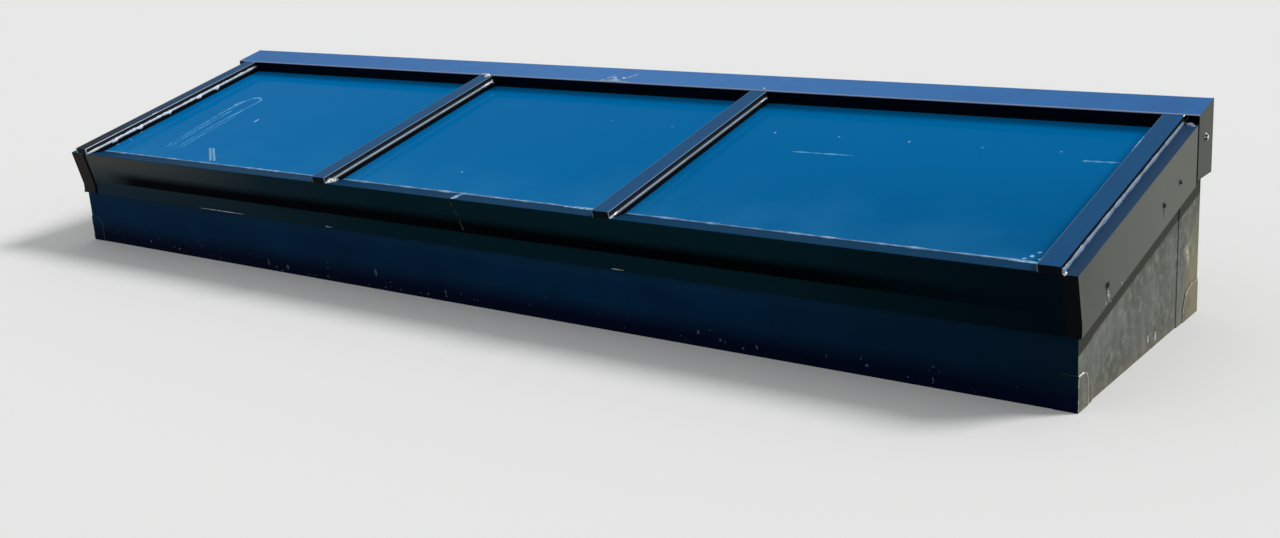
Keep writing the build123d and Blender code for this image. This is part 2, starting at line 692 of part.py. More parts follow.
# Ridge cap: one folded sheet in two lengths, notched over the bars and closed at the ends
ridge_lengths = {"left": (-half_length, -splice_gap / 2), "right": (splice_gap / 2, half_length)}
for name, (x_low, x_high) in ridge_lengths.items():
    side = -1 if name == "left" else 1
    with BuildPart() as ridge_cap:
        with BuildSketch(section(x_low)):
            with BuildLine():
                FilletPolyline((s_lip, tape_height), (s_lip, n_ridge), (s_ridge_back, n_ridge),
                               sn(y_ridge, z_leg), sn(y_ridge - ridge_return, z_leg), radius=fold_radius)
                offset(amount=sheet, side=Side.RIGHT)
            make_face()
        extrude(amount=x_high - x_low)
        notch_half = bar_width / 2 + lip_clearance
        for notch_low, notch_high in [(x - notch_half, x + notch_half) for x in bar_places] + [
                (-half_length, -half_frame), (half_frame, half_length)]:
            with BuildSketch(section(notch_low)):
                Polygon(*box_points(s_lip - sheet, s_lip + 2 * sheet, 0, n_cap), align=None)
            extrude(amount=notch_high - notch_low, mode=Mode.SUBTRACT)
        with BuildSketch(plumb(side * half_length)):
            Polygon((y_ridge_front, z_leg), (y_ridge, z_leg), (y_ridge, level(y_ridge, n_ridge)),
                    (y_ridge_front, level(y_ridge_front, n_ridge)), align=None)
        extrude(amount=-side * sheet)
        with BuildSketch(section(side * half_length)):
            with Locations(ridge_screw_place):
                RegularPolygon(side_screw / 2, shank_sides)
        extrude(amount=-side * sheet, mode=Mode.SUBTRACT)
    save(ridge_cap.part, f"ridge_cap_{name}")

with BuildPart() as ridge_splice:
    with BuildSketch(section(-splice_width / 2)):
        Polygon(*box_points(s_lip + splice_margin, s_ridge_back - splice_margin, n_cap - sheet, n_cap),
                align=None)
    extrude(amount=splice_width)
save(ridge_splice.part, "ridge_splice")

# Foam tape seals the foot of the ridge lip to the glass
with BuildPart() as ridge_tapes:
    for x_low, x_high in bays.values():
        with BuildSketch(section(x_low + gasket_high)):
            Polygon(*box_points(s_lip, s_lip + tape_width, 0, tape_height), align=None)
        extrude(amount=x_high - x_low - 2 * gasket_high)
save(ridge_tapes.part, "ridge_tapes")

# Washer-head screws fix the side flashings and ridge ends to the packers
with BuildPart() as flashing_screws:
    for side in (-1, 1):
        x_face = side * half_length
        with BuildSketch(section(x_face)):
            with Locations(*flashing_screw_places):
                Circle(side_screw_washer / 2)
        extrude(amount=side * side_screw_washer_height)
        with BuildSketch(section(x_face + side * side_screw_washer_height)):
            with Locations(*flashing_screw_places):
                RegularPolygon(side_screw_head / 2, 6, major_radius=False)
        extrude(amount=side * side_screw_head_height)
        with BuildSketch(section(x_face)):
            with Locations(*flashing_screw_places):
                RegularPolygon(side_screw / 2, shank_sides)
        extrude(amount=-side * side_screw_length)
save(flashing_screws.part, "flashing_screws")
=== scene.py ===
import bpy
from math import cos, radians, sin
from mathutils import Matrix, Vector


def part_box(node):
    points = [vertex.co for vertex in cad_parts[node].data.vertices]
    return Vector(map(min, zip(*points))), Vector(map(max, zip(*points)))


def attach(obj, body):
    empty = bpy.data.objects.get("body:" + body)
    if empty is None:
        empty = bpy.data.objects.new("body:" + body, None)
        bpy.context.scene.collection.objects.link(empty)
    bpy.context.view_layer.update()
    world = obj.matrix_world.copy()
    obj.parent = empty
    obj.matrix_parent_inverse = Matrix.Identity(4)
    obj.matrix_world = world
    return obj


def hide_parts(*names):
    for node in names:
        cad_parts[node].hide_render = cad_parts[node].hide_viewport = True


# Fixed roof skylight: three bays of blue insulating glass on a curb wrapped in roofing membrane.
# X runs along the eave, +Y up the slope and +Z up, in metres.
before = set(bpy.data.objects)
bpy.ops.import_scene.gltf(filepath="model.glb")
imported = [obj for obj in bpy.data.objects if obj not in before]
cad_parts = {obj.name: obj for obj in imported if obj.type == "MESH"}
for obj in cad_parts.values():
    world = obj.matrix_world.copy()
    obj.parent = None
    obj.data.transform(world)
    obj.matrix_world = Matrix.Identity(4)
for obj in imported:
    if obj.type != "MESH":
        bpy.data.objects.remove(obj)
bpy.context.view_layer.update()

# Camera at the photograph's angle: high at the front right corner, turned a little about its axis.
# Its place and focal length put the unit's corners where the picture has them.
image_width = 1280
focal_pixels = 1538.85
camera_azimuth = radians(37.86)
camera_elevation = radians(16.12)
camera_roll = radians(-3.88)
eye_place = (3.2848, -3.7789, 1.4240)
forward = Vector((-sin(camera_azimuth) * cos(camera_elevation),
                  cos(camera_azimuth) * cos(camera_elevation),
                  -sin(camera_elevation)))
level_right = forward.cross(Vector((0, 0, 1))).normalized()
level_up = level_right.cross(forward)
right = level_right * cos(camera_roll) + level_up * sin(camera_roll)
up = level_up * cos(camera_roll) - level_right * sin(camera_roll)
lens = bpy.data.cameras.new("eye level")
lens.sensor_width = 36
lens.lens = focal_pixels / image_width * lens.sensor_width
lens.clip_end = 200
camera = bpy.data.objects.new("eye level", lens)
camera.matrix_world = Matrix((right, up, -forward)).transposed().to_4x4()
camera.location = eye_place
bpy.context.scene.collection.objects.link(camera)
bpy.context.scene.camera = camera


# Timber curb: softwood boards on edge with sloped nailers laid flat on them.
# Sawn pine, pale yellow with darker growth rings, seen only from below.
def linear(code):
    """Linear colour of an sRGB hex value"""
    parts = [int(code[place:place + 2], 16) / 255 for place in (1, 3, 5)]
    return [part / 12.92 if part <= 0.04045 else ((part + 0.055) / 1.055) ** 2.4 for part in parts] + [1]


def per(size_mm):
    """Texture scale whose features are about this many millimetres across"""
    return 1000 / size_mm


def add(tree, kind, inputs=(), **settings):
    """Add a node with its settings; an input takes a value, a socket, or a node for its first output"""
    made = tree.nodes.new(kind)
    for name, value in settings.items():
        setattr(made, name, value)
    for name, value in dict(inputs).items():
        if isinstance(value, bpy.types.Node):
            value = value.outputs[0]
        if isinstance(value, bpy.types.NodeSocket):
            tree.links.new(value, made.inputs[name])
        else:
            made.inputs[name].default_value = value
    return made


def new_finish(name, roughness, **levels):
    """A new material: its tree, its Object coordinates and its Principled shader"""
    material = bpy.data.materials.new(name)
    material.use_nodes = True
    tree = material.node_tree
    tree.nodes.clear()
    place = add(tree, "ShaderNodeTexCoord").outputs["Object"]
    shader = add(tree, "ShaderNodeBsdfPrincipled", {"Roughness": roughness})
    for level, value in levels.items():
        shader.inputs[level.replace("_", " ")].default_value = value
    add(tree, "ShaderNodeOutputMaterial", {"Surface": shader.outputs["BSDF"]})
    return material, tree, place, shader


def colour(tree, shader, ground, *layers):
    """Lay colours over a ground and feed the base colour; a layer shows where all its masks are on.
    A mask is a node or socket, or a measure with the values where it starts and is full, and its most."""
    below = linear(ground)
    for code, *masks in layers:
        cover = None
        for mask in masks:
            if isinstance(mask, tuple):
                measure, start, full, *most = mask
                mask = add(tree, "ShaderNodeMapRange", {"Value": measure, "From Min": start, "From Max": full,
                                                        "To Max": most[0] if most else 1})
            cover = add(tree, "ShaderNodeMath", {0: cover, 1: mask}, operation="MULTIPLY") if cover else mask
        layer = add(tree, "ShaderNodeMix", {0: cover, 6: below, 7: linear(code)}, data_type="RGBA")
        below = layer.outputs[2]
    tree.links.new(below, shader.inputs["Base Color"])


def dress(material, *starts):
    """Give a finish to every CAD node whose name starts so"""
    for name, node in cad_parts.items():
        if name.startswith(starts):
            node.material_slots[0].material = material


sawn_pine, tree, place, shader = new_finish("sawn pine", 0.75)
along = add(tree, "ShaderNodeMapping", {"Vector": place, "Scale": (0.04, 0.25, 1)})
grain = add(tree, "ShaderNodeTexNoise",
            {"Vector": along, "Scale": per(9), "Detail": 5, "Distortion": 0.6})
colour(tree, shader, "#C9A26B", ("#A97F4B", grain))
saw_marks = add(tree, "ShaderNodeBump", {"Height": grain, "Strength": 0.3, "Distance": 0.0006})
tree.links.new(saw_marks.outputs[0], shader.inputs["Normal"])
dress(sawn_pine, "curb_board", "nailer")

# Roofing membrane: one-ply black rubber sheet, dressed over the curb and bonded to it. Matte, slightly wavy.
# The front is near black with painted shade, lighter high up and darker at the foot and to the right. Painted
# sunlight greys the other faces, with hanging streaks of dust, mud at the foot, a tan stain up the rear
# corners, a spot of salt on the right and a dark band of painted shadow below the side sheets.
slope = radians(13)
glass = 0.006
glass_foot = 0.014  # lower edge of the glass behind the curb's front face, along the slope
lite_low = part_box("outer_lite_left")[0]


def on_slope(x, s, n):
    """Point at x, s up the slope from above the curb's front face and n out from the glass"""
    run = s - glass_foot
    return Vector((x, lite_low[1] + run * cos(slope) - n * sin(slope),
                   lite_low[2] + glass * cos(slope) + run * sin(slope) + n * cos(slope)))


def on_sheet(tree, place):
    """Object coordinates as X, distance up the slope and height above the glass"""
    moved = add(tree, "ShaderNodeVectorMath", {0: place, 1: on_slope(0, 0, 0)}, operation="SUBTRACT")
    turned = add(tree, "ShaderNodeMapping", {"Vector": moved, "Rotation": (-slope, 0, 0)})
    return add(tree, "ShaderNodeSeparateXYZ", {"Vector": turned}).outputs


membrane, tree, place, shader = new_finish("dusty rubber membrane with painted sun and shade", 0.7, Specular_IOR_Level=0.03)
waves = add(tree, "ShaderNodeTexNoise", {"Vector": place, "Scale": per(210), "Detail": 2})
mottle = add(tree, "ShaderNodeTexNoise", {"Vector": place, "Scale": per(30), "Detail": 6, "Roughness": 0.65})
hung = add(tree, "ShaderNodeMapping", {"Vector": place, "Scale": (1, 1, 0.14)})
streaks = add(tree, "ShaderNodeTexNoise", {"Vector": hung, "Scale": per(26), "Detail": 4, "Distortion": 0.5})
facing = add(tree, "ShaderNodeSeparateXYZ",
             {"Vector": add(tree, "ShaderNodeNewGeometry").outputs["Normal"]}).outputs
spot = add(tree, "ShaderNodeSeparateXYZ", {"Vector": place}).outputs
# Painted light: faces turned from the front, and everything behind it, take a sunlit grey; the front keeps
# the near black of painted shade.
turned = add(tree, "ShaderNodeMapRange", {"Value": facing["Y"], "From Min": -0.9, "From Max": -0.5})
behind = add(tree, "ShaderNodeMapRange", {"Value": spot["Y"], "From Min": -0.44, "From Max": -0.43})
painted_sunlit = add(tree, "ShaderNodeMath", {0: turned, 1: behind}, operation="MAXIMUM")
dusty = add(tree, "ShaderNodeMath", {0: streaks, 1: waves}, operation="MULTIPLY")
low_down = add(tree, "ShaderNodeMapRange", {"Value": spot["Z"], "From Min": 0.12, "From Max": 0.0})
splash = add(tree, "ShaderNodeMath", {0: low_down, 1: mottle}, operation="MULTIPLY")
from_middle = add(tree, "ShaderNodeMath", {0: spot["X"]}, operation="ABSOLUTE")
stain = streaks
for measure, start, full, least in ((spot["Y"], 0.27, 0.39, 0), (spot["Z"], 0.36, 0.1, 0),
                                    (from_middle, 1.7, 1.97, 0.25)):
    close_by = add(tree, "ShaderNodeMapRange",
                   {"Value": measure, "From Min": start, "From Max": full, "To Min": least})
    stain = add(tree, "ShaderNodeMath", {0: stain, 1: close_by}, operation="MULTIPLY")
blotch = (mottle, 0.48, 0.66, 0.8)
salt_place = (1.989, 0.336, 0.185)
from_salt = add(tree, "ShaderNodeVectorMath", {0: place, 1: salt_place}, operation="DISTANCE")
# Painted shadow: on the lit faces the membrane is dark from under the side sheets down to about 190 mm below
# the glass line.
painted_shadow_height = on_sheet(tree, place)["Z"]
colour(tree, shader, "#001E38", ("#002642", (waves, 0.35, 0.68)), ("#082A42", (spot["Z"], 0.14, 0.2, 0.7)),
       ("#001524", (spot["X"], 0.9, 2.0)), ("#00081F", (spot["Z"], 0.085, 0.03)), ("#575953", painted_sunlit),
       ("#696B66", (dusty, 0.16, 0.36), painted_sunlit), ("#7A7A71", blotch, painted_sunlit),
       ("#7F7A60", (stain, 0.08, 0.45, 0.85)), ("#77725F", (splash, 0.33, 0.62, 0.6), painted_sunlit),
       ("#B4B2A0", (from_salt.outputs["Value"], 0.06, 0.015), blotch),
       ("#393A36", (painted_shadow_height, -0.195, -0.189), painted_sunlit))
swell = add(tree, "ShaderNodeBump", {"Height": waves, "Strength": 0.35, "Distance": 0.012})
texture = add(tree, "ShaderNodeBump",
              {"Height": mottle, "Strength": 0.25, "Distance": 0.002, "Normal": swell})
tree.links.new(texture.outputs[0], shader.inputs["Normal"])
dress(membrane, "membrane", "corner_patches")


# Cut-edge sealant: a thin pale line of lap caulk run along the edges of the corner patches, with two
# white drips low on the right face and a white dab at its near corner. Smeared on wet and left unlevel.
def new_maker(name, sizes):
    """A Geometry Nodes tree with a geometry input, named sizes and a geometry output"""
    tree = bpy.data.node_groups.new(name, "GeometryNodeTree")
    kinds = {float: "NodeSocketFloat", int: "NodeSocketInt", Vector: "NodeSocketVector",
             bpy.types.Material: "NodeSocketMaterial"}
    tree.interface.new_socket("Geometry", in_out="INPUT", socket_type="NodeSocketGeometry")
    for size, kind in sizes.items():
        tree.interface.new_socket(size, in_out="INPUT", socket_type=kinds[kind])
    tree.interface.new_socket("Geometry", in_out="OUTPUT", socket_type="NodeSocketGeometry")
    return tree, add(tree, "NodeGroupInput").outputs


def made(name, base, tree, slot, **sizes):
    """Run a tree on a base mesh or curve, keep the result as a plain mesh and ride it on the unit"""
    carrier = bpy.data.objects.new(name, base)
    bpy.context.scene.collection.objects.link(carrier)
    modifier = carrier.modifiers.new("maker", "NODES")
    modifier.node_group = tree
    for socket in tree.interface.items_tree:
        if socket.in_out == "INPUT" and socket.name in sizes:
            modifier[socket.identifier] = sizes[socket.name]
    depsgraph = bpy.context.evaluated_depsgraph_get()
    mesh = bpy.data.meshes.new_from_object(carrier.evaluated_get(depsgraph))
    bpy.data.objects.remove(carrier)
    piece = bpy.data.objects.new(name, mesh)
    bpy.context.scene.collection.objects.link(piece)
    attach(piece, "root")
    return piece


smear, size = new_maker("smear along a path", {"Out": Vector, "Width": float, "Height": float,
                                               "Unevenness": float, "Lump": float, "Seed": float,
                                               "Bluntness": float, "Finish": bpy.types.Material})
stepped = add(smear, "GeometryNodeResampleCurve", {"Curve": size["Geometry"], "Length": 0.003}, mode="LENGTH")
share = add(smear, "GeometryNodeSplineParameter").outputs["Factor"]
rest = add(smear, "ShaderNodeMath", {0: 1.0, 1: share}, operation="SUBTRACT")
ends = add(smear, "ShaderNodeMath", {0: share, 1: rest}, operation="MULTIPLY")
full = add(smear, "ShaderNodeMath", {0: ends, 1: size["Bluntness"]}, operation="MULTIPLY",
           use_clamp=True)
taper = add(smear, "ShaderNodeMath", {0: full, 1: 0.5}, operation="POWER")
grain_scale = add(smear, "ShaderNodeMath", {0: 1.0, 1: size["Lump"]}, operation="DIVIDE")
lumps = add(smear, "ShaderNodeTexNoise", {"Vector": add(smear, "GeometryNodeInputPosition"),
                                          "W": size["Seed"], "Scale": grain_scale, "Detail": 2},
            noise_dimensions="4D")
swing = add(smear, "ShaderNodeMapRange", {"Value": lumps, "From Min": 0.3, "From Max": 0.7,
                                          "To Min": -1, "To Max": 1})
uneven = add(smear, "ShaderNodeMath", {0: swing, 1: size["Unevenness"], 2: 1.0},
             operation="MULTIPLY_ADD")
given = add(smear, "ShaderNodeMath", {0: add(smear, "GeometryNodeInputRadius"), 1: taper},
            operation="MULTIPLY")
radius = add(smear, "ShaderNodeMath", {0: given, 1: uneven}, operation="MULTIPLY")
turned = add(smear, "GeometryNodeSetCurveNormal", {"Curve": stepped, "Normal": size["Out"]},
             mode="FREE")
sized = add(smear, "GeometryNodeSetCurveRadius", {"Curve": turned, "Radius": radius})
half_width = add(smear, "ShaderNodeMath", {0: size["Width"], 1: 0.5}, operation="MULTIPLY")
flat = add(smear, "ShaderNodeCombineXYZ", {"X": size["Height"], "Y": half_width, "Z": 1})
ring = add(smear, "GeometryNodeCurvePrimitiveCircle", {"Resolution": 10, "Radius": 1})
profile = add(smear, "GeometryNodeTransform", {"Geometry": ring, "Scale": flat})
body = add(smear, "GeometryNodeCurveToMesh", {"Curve": sized, "Profile Curve": profile, "Scale": radius,
                                              "Fill Caps": True})
whole = add(smear, "GeometryNodeRealizeInstances", {"Geometry": body})
smooth = add(smear, "GeometryNodeSetShadeSmooth", {"Geometry": whole})
finished = add(smear, "GeometryNodeSetMaterial", {"Geometry": smooth, "Material": size["Finish"]})
add(smear, "NodeGroupOutput", {"Geometry": finished})


def smeared(name, slot, finish, out, paths, width, height, uneven, lump, seed, blunt=12.0):
    """Spread a smear along each path; a path point is a place with a width factor"""
    line = bpy.data.curves.new(name, "CURVE")
    line.dimensions = "3D"
    for path in paths:
        spline = line.splines.new("POLY")
        spline.points.add(len(path) - 1)
        for point, (place, factor) in zip(spline.points, path):
            point.co = (*place, 1)
            point.radius = factor
    return made(name, line, smear, slot, Out=out, Width=width, Height=height, Unevenness=uneven, Lump=lump,
                Seed=seed, Bluntness=blunt, Finish=finish)


def mottled(name, roughness, ground, patches, size_mm, detail=4, grit=0.5, fade=(0, 1), **levels):
    """A finish with patches of a second colour, size_mm across, that fade in between two noise levels"""
    material, tree, place, shader = new_finish(name, roughness, **levels)
    noise = add(tree, "ShaderNodeTexNoise",
                {"Vector": place, "Scale": per(size_mm), "Detail": detail, "Roughness": grit})
    colour(tree, shader, ground, (patches, (noise, *fade)))
    return material


lap_caulk = mottled("grey lap caulk", 0.6, "#A7A493", "#7E7C6C", 8, Specular_IOR_Level=0.3)
white_drip = mottled("dried white paint", 0.5, "#EDEEEA", "#C9CAC4", 4, detail=3)
to_right = Vector((1, 0, 0))
film_lift = 0.0002  # clearance of a smear's middle line from the face below it
line_foot = 0.002
patch_low, patch_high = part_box("corner_patches")
face_x, patch_top = patch_high[0], patch_high[2]
front_y, back_y = patch_low[1], patch_high[1]
edge_lines = (
    (front_y, ((0.001, 0, 1), (0.032, 0, 0.9), (0.053, -0.009, 0.9), (0.062, -0.032, 1)), 0.8),
    (back_y, ((-0.001, 0, 0.8), (-0.062, 0, 1), (-0.104, -0.018, 1), (-0.122, -0.06, 0.9)), 0.7),
    (front_y, ((0.0015, -0.004, 0.7),), 0.8))
side_edges = []
for side in (-1, 1):
    x = side * (face_x + film_lift)
    for corner_y, bends, foot_width in edge_lines:
        line = [((x, corner_y + inward, patch_top + drop), width) for inward, drop, width in bends]
        side_edges.append([*line, ((x, corner_y + bends[-1][0], line_foot), foot_width)])
smeared("patch_edge_caulk", "sealant", lap_caulk, to_right, side_edges,
        width=0.005, height=0.001, uneven=0.5, lump=0.012, seed=1.0, blunt=100.0)

curb_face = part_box("membrane_right")[1][0]
drips = [[((curb_face + film_lift, y, z_high), 0.5), ((curb_face + film_lift, y, z_low), 1)]
         for y, z_high, z_low in ((0.0443, 0.047, 0.024), (0.1003, 0.040, 0.013))]
smeared("white_drips", "sealant", white_drip, to_right, drips,
        width=0.006, height=0.0012, uneven=0.2, lump=0.01, seed=2.0)
corner_line = [[((face_x + 2 * film_lift, front_y + inward, patch_top + drop), width)
                for inward, drop, width in ((0.0005, -0.001, 1.1), (0.016, 0, 0.9), (0.034, -0.001, 0.8))]]
smeared("corner_caulk", "sealant", white_drip, to_right, corner_line,
        width=0.0055, height=0.0014, uneven=0.4, lump=0.008, seed=2.0)

# Mud specks: thin pale splashes thrown up by rain on the foot of the front face.
# Scattered flakes, each a flattened lump a few millimetres to a centimetre long, and taller drops.
dried_mud = mottled("dried mud", 0.9, "#1E2E3E", "#4E5E6C", 6, Specular_IOR_Level=0.1)
flake_slimness, flake_height = 0.45, 0.0006
specks, size = new_maker("specks on a face", {"Density": float, "Smallest": float, "Largest": float,
                                              "Seed": int, "Finish": bpy.types.Material})
spread = add(specks, "GeometryNodeDistributePointsOnFaces",
             {"Mesh": size["Geometry"], "Density": size["Density"], "Seed": size["Seed"]})
flake = add(specks, "GeometryNodeMeshIcoSphere", {"Radius": 1, "Subdivisions": 1})
length = add(specks, "FunctionNodeRandomValue", {"Min": size["Smallest"], "Max": size["Largest"],
                                                 "Seed": size["Seed"]}, data_type="FLOAT").outputs[1]
across = add(specks, "ShaderNodeMath", {0: length, 1: flake_slimness}, operation="MULTIPLY")
flake_size = add(specks, "ShaderNodeCombineXYZ", {"X": length, "Y": across, "Z": flake_height})
lean = add(specks, "FunctionNodeRandomValue", {"Min": (0, 0, 0.6), "Max": (0, 0, 2.2),
                                               "Seed": size["Seed"]}, data_type="FLOAT_VECTOR")
planted = add(specks, "GeometryNodeInstanceOnPoints",
              {"Points": spread, "Instance": flake, "Rotation": spread.outputs["Rotation"],
               "Scale": flake_size})
spun = add(specks, "GeometryNodeRotateInstances",
           {"Instances": planted, "Rotation": lean, "Local Space": True})
whole = add(specks, "GeometryNodeRealizeInstances", {"Geometry": spun})
finished = add(specks, "GeometryNodeSetMaterial", {"Geometry": whole, "Material": size["Finish"]})
add(specks, "NodeGroupOutput", {"Geometry": finished})

curb_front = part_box("membrane_front")[0][1]
foot_strip = bpy.data.meshes.new("foot strip")
foot_bands = ((-1.94, 0.012, 0.085), (-0.9, 0.008, 0.060), (0.2, 0.006, 0.075), (1.2, 0.006, 0.05),
              (1.93, 0.008, 0.07))
quads = [(2 * step, 2 * step + 2, 2 * step + 3, 2 * step + 1) for step in range(len(foot_bands) - 1)]
foot_strip.from_pydata([(x, curb_front, z) for x, *heights in foot_bands for z in heights], [], quads)
made("mud_specks", foot_strip, specks, "membrane", Density=260.0, Smallest=0.001, Largest=0.0045, Seed=7,
     Finish=dried_mud)
splashes = [(-1.80, 0.025, 0.008), (-1.63, 0.030, 0.012), (-1.49, 0.025, 0.010), (-1.46, 0.020, 0.010),
            (-1.28, 0.018, 0.008), (-1.225, 0.012, 0.007), (-0.955, 0.028, 0.024), (-0.915, 0.016, 0.009),
            (-0.855, 0.024, 0.020), (-0.885, 0.007, 0.008), (-0.75, 0.010, 0.008), (-0.715, 0.009, 0.008),
            (-0.65, 0.014, 0.010), (-0.41, 0.058, 0.028), (-0.45, 0.011, 0.008), (-0.37, 0.012, 0.008),
            (-0.30, 0.012, 0.007), (-0.21, 0.013, 0.008), (-0.175, 0.015, 0.009), (-0.095, 0.026, 0.024),
            (0.04, 0.022, 0.008), (0.885, 0.042, 0.012), (0.96, 0.030, 0.010), (1.035, 0.016, 0.009),
            (1.08, 0.026, 0.016), (1.42, 0.030, 0.010), (1.61, 0.022, 0.012)]
drop_lean = 0.002
drops = [[((x - drop_lean, curb_front, z + tall / 2), 0.5), ((x + drop_lean, curb_front, z - tall / 2), 1)]
         for x, z, tall in splashes]
to_front = Vector((0, -1, 0))
smeared("mud_splashes", "membrane", dried_mud, to_front, drops,
        width=0.010, height=0.0008, uneven=0.6, lump=0.006, seed=12.0)

# Rails, rafters, spigots, spacers and splice plates: aluminium as it leaves the die or the mill.
# Pale and satin, with fine lines along their length.
mill_aluminium, tree, place, shader = new_finish("mill-finish aluminium", 0.4, Metallic=1)
along = add(tree, "ShaderNodeMapping", {"Vector": place, "Scale": (0.02, 1, 1)})
lines = add(tree, "ShaderNodeTexNoise", {"Vector": along, "Scale": per(3), "Detail": 3})
stains = add(tree, "ShaderNodeTexNoise", {"Vector": place, "Scale": per(60), "Detail": 5})
colour(tree, shader, "#D2D5D7", ("#AEB4B8", stains))
lustre = add(tree, "ShaderNodeMapRange", {"Value": lines, "To Min": 0.3, "To Max": 0.5})
tree.links.new(lustre.outputs[0], shader.inputs["Roughness"])
dress(mill_aluminium, "sill_rail", "ridge_rail", "rafter", "fascia_splice", "ridge_splice", "spacer")

# Hidden screws: zinc-plated steel, bluish and a little dull.
# They hold the rails to the nailers, and the pressure plates down on the rafters.
zinc_steel = mottled("zinc-plated steel", 0.38, "#B9BDC2", "#7E8287", 4, Metallic=1)
dress(zinc_steel, "anchor_screws", "plate_screws")

# Washer-head screws of the side sheets: a bonded washer, a collar and a hexagon head with a crown.
# Painted steel, worn back to bare metal near the ridge only, driven at slightly different turns.
worn_screw, tree, place, shader = new_finish("worn painted steel", 0.42, Specular_IOR_Level=0.2)
chips = add(tree, "ShaderNodeTexNoise", {"Vector": place, "Scale": per(5), "Detail": 5})
spot = add(tree, "ShaderNodeSeparateXYZ", {"Vector": place}).outputs
at_ridge = add(tree, "ShaderNodeMapRange", {"Value": spot["Y"], "From Min": 0.36, "From Max": 0.38,
                                            "To Min": 0.12})
colour(tree, shader, "#050608", ("#E4E6E6", (chips, 0.53, 0.58), at_ridge))
screws, size = new_maker("washer-head screws", {"Washer": float, "Head": float, "Shank": float,
                                                "Length": float, "Seed": int,
                                                "Finish": bpy.types.Material})
round_sides, hexagon = 24, 6
steps = []
for measure, foot_share, top_share, depth, low, sides in (
        (size["Washer"], 0.5, 0.45, 0.0015, 0.0, round_sides),       # bonded washer
        (size["Washer"], 0.37, 0.34, 0.0008, 0.0015, round_sides),   # collar
        (size["Head"], 0.57, 0.57, 0.0034, 0.0023, hexagon),         # head
        (size["Head"], 0.57, 0.42, 0.0008, 0.0057, hexagon)):        # crown
    foot_radius = add(screws, "ShaderNodeMath", {0: measure, 1: foot_share}, operation="MULTIPLY")
    top_radius = add(screws, "ShaderNodeMath", {0: measure, 1: top_share}, operation="MULTIPLY")
    cone = add(screws, "GeometryNodeMeshCone", {"Vertices": sides, "Radius Top": top_radius,
                                                "Radius Bottom": foot_radius, "Depth": depth})
    steps.append(add(screws, "GeometryNodeTransform", {"Geometry": cone, "Translation": (0, 0, low)}))
shank_sides, point_radius = 12, 0.0012
shank_radius = add(screws, "ShaderNodeMath", {0: size["Shank"], 1: 0.5}, operation="MULTIPLY")
shank = add(screws, "GeometryNodeMeshCone", {"Vertices": shank_sides, "Radius Top": shank_radius,
                                             "Radius Bottom": point_radius, "Depth": size["Length"]})
sunk = add(screws, "ShaderNodeMath", {0: size["Length"], 1: -1.0}, operation="MULTIPLY")
below = add(screws, "ShaderNodeCombineXYZ", {"Z": sunk})
steps.append(add(screws, "GeometryNodeTransform", {"Geometry": shank, "Translation": below}))
joined = add(screws, "GeometryNodeJoinGeometry")
for step in steps:
    screws.links.new(step.outputs[0], joined.inputs[0])
side_of = add(screws, "ShaderNodeSeparateXYZ", {"Vector": add(screws, "GeometryNodeInputPosition")})
outward = add(screws, "ShaderNodeCombineXYZ", {"X": side_of.outputs["X"]})
aimed = add(screws, "FunctionNodeAlignRotationToVector", {"Vector": outward}, axis="Z")
heft = add(screws, "GeometryNodeInputNamedAttribute", {"Name": "heft"}, data_type="FLOAT")
broad = add(screws, "ShaderNodeCombineXYZ", {"X": heft, "Y": heft, "Z": 1})
driven = add(screws, "GeometryNodeInstanceOnPoints",
             {"Points": size["Geometry"], "Instance": joined, "Rotation": aimed, "Scale": broad})
twist = add(screws, "FunctionNodeRandomValue", {"Min": (0, 0, 0), "Max": (0, 0, 1), "Seed": size["Seed"]},
            data_type="FLOAT_VECTOR")
spun = add(screws, "GeometryNodeRotateInstances",
           {"Instances": driven, "Rotation": twist, "Local Space": True})
whole = add(screws, "GeometryNodeRealizeInstances", {"Geometry": spun})
finished = add(screws, "GeometryNodeSetMaterial", {"Geometry": whole, "Material": size["Finish"]})
add(screws, "NodeGroupOutput", {"Geometry": finished})

half_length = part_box("side_flashing_right")[1][0]
screw_places = [(0.131, -0.089), (0.5409, -0.076), (0.6669, -0.070), (0.8862, -0.038)]
washer_spread = [1.35, 1.2, 1.0, 1.6]
screw_points = bpy.data.meshes.new("screw points")
screw_points.from_pydata([on_slope(side * half_length, s, n) for side in (-1, 1) for s, n in screw_places],
                         [], [])
screw_points.attributes.new("heft", "FLOAT", "POINT").data.foreach_set("value", washer_spread * 2)
washer_screws = made("washer_head_screws", screw_points, screws, "screws", Washer=0.016, Head=0.009,
                     Shank=0.005, Length=0.03, Seed=3, Finish=worn_screw)
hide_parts("flashing_screws")

# Runs below the side screws: dirt washed down from under the washers, and a wipe of caulk at the lowest.
# Thin films on the sheet, a few millimetres wide.
dirt = mottled("washed-down dirt", 0.8, "#141517", "#33342F", 6, Specular_IOR_Level=0.05)
below_screw, run_step = Vector((0, 0, -0.008)), Vector((0, 0.001, -0.011))
runs = [[(on_slope(side * half_length, s, n) + below_screw + run_step * step, width)
         for step, width in enumerate((1.2, 0.8, 0.6, 0.3))]
        for side in (-1, 1) for s, n in screw_places[:2]]
smeared("screw_runs", "dark_paint", dirt, to_right, runs,
        width=0.0055, height=0.0005, uneven=0.3, lump=0.01, seed=18.0)
wipes = [[(-0.297, 0.268), (-0.287, 0.262), (-0.292, 0.255), (-0.279, 0.250), (-0.286, 0.243),
          (-0.283, 0.237)],
         [(-0.300, 0.241), (-0.306, 0.234)], [(-0.271, 0.235), (-0.268, 0.229)],
         [(-0.200, 0.263), (-0.193, 0.254)]]
smeared("screw_caulk_wipes", "sealant", lap_caulk, to_right,
        [[((half_length + film_lift / 2, y, z), 1) for y, z in path] for path in wipes],
        width=0.0058, height=0.0006, uneven=0.5, lump=0.007, seed=19.0)

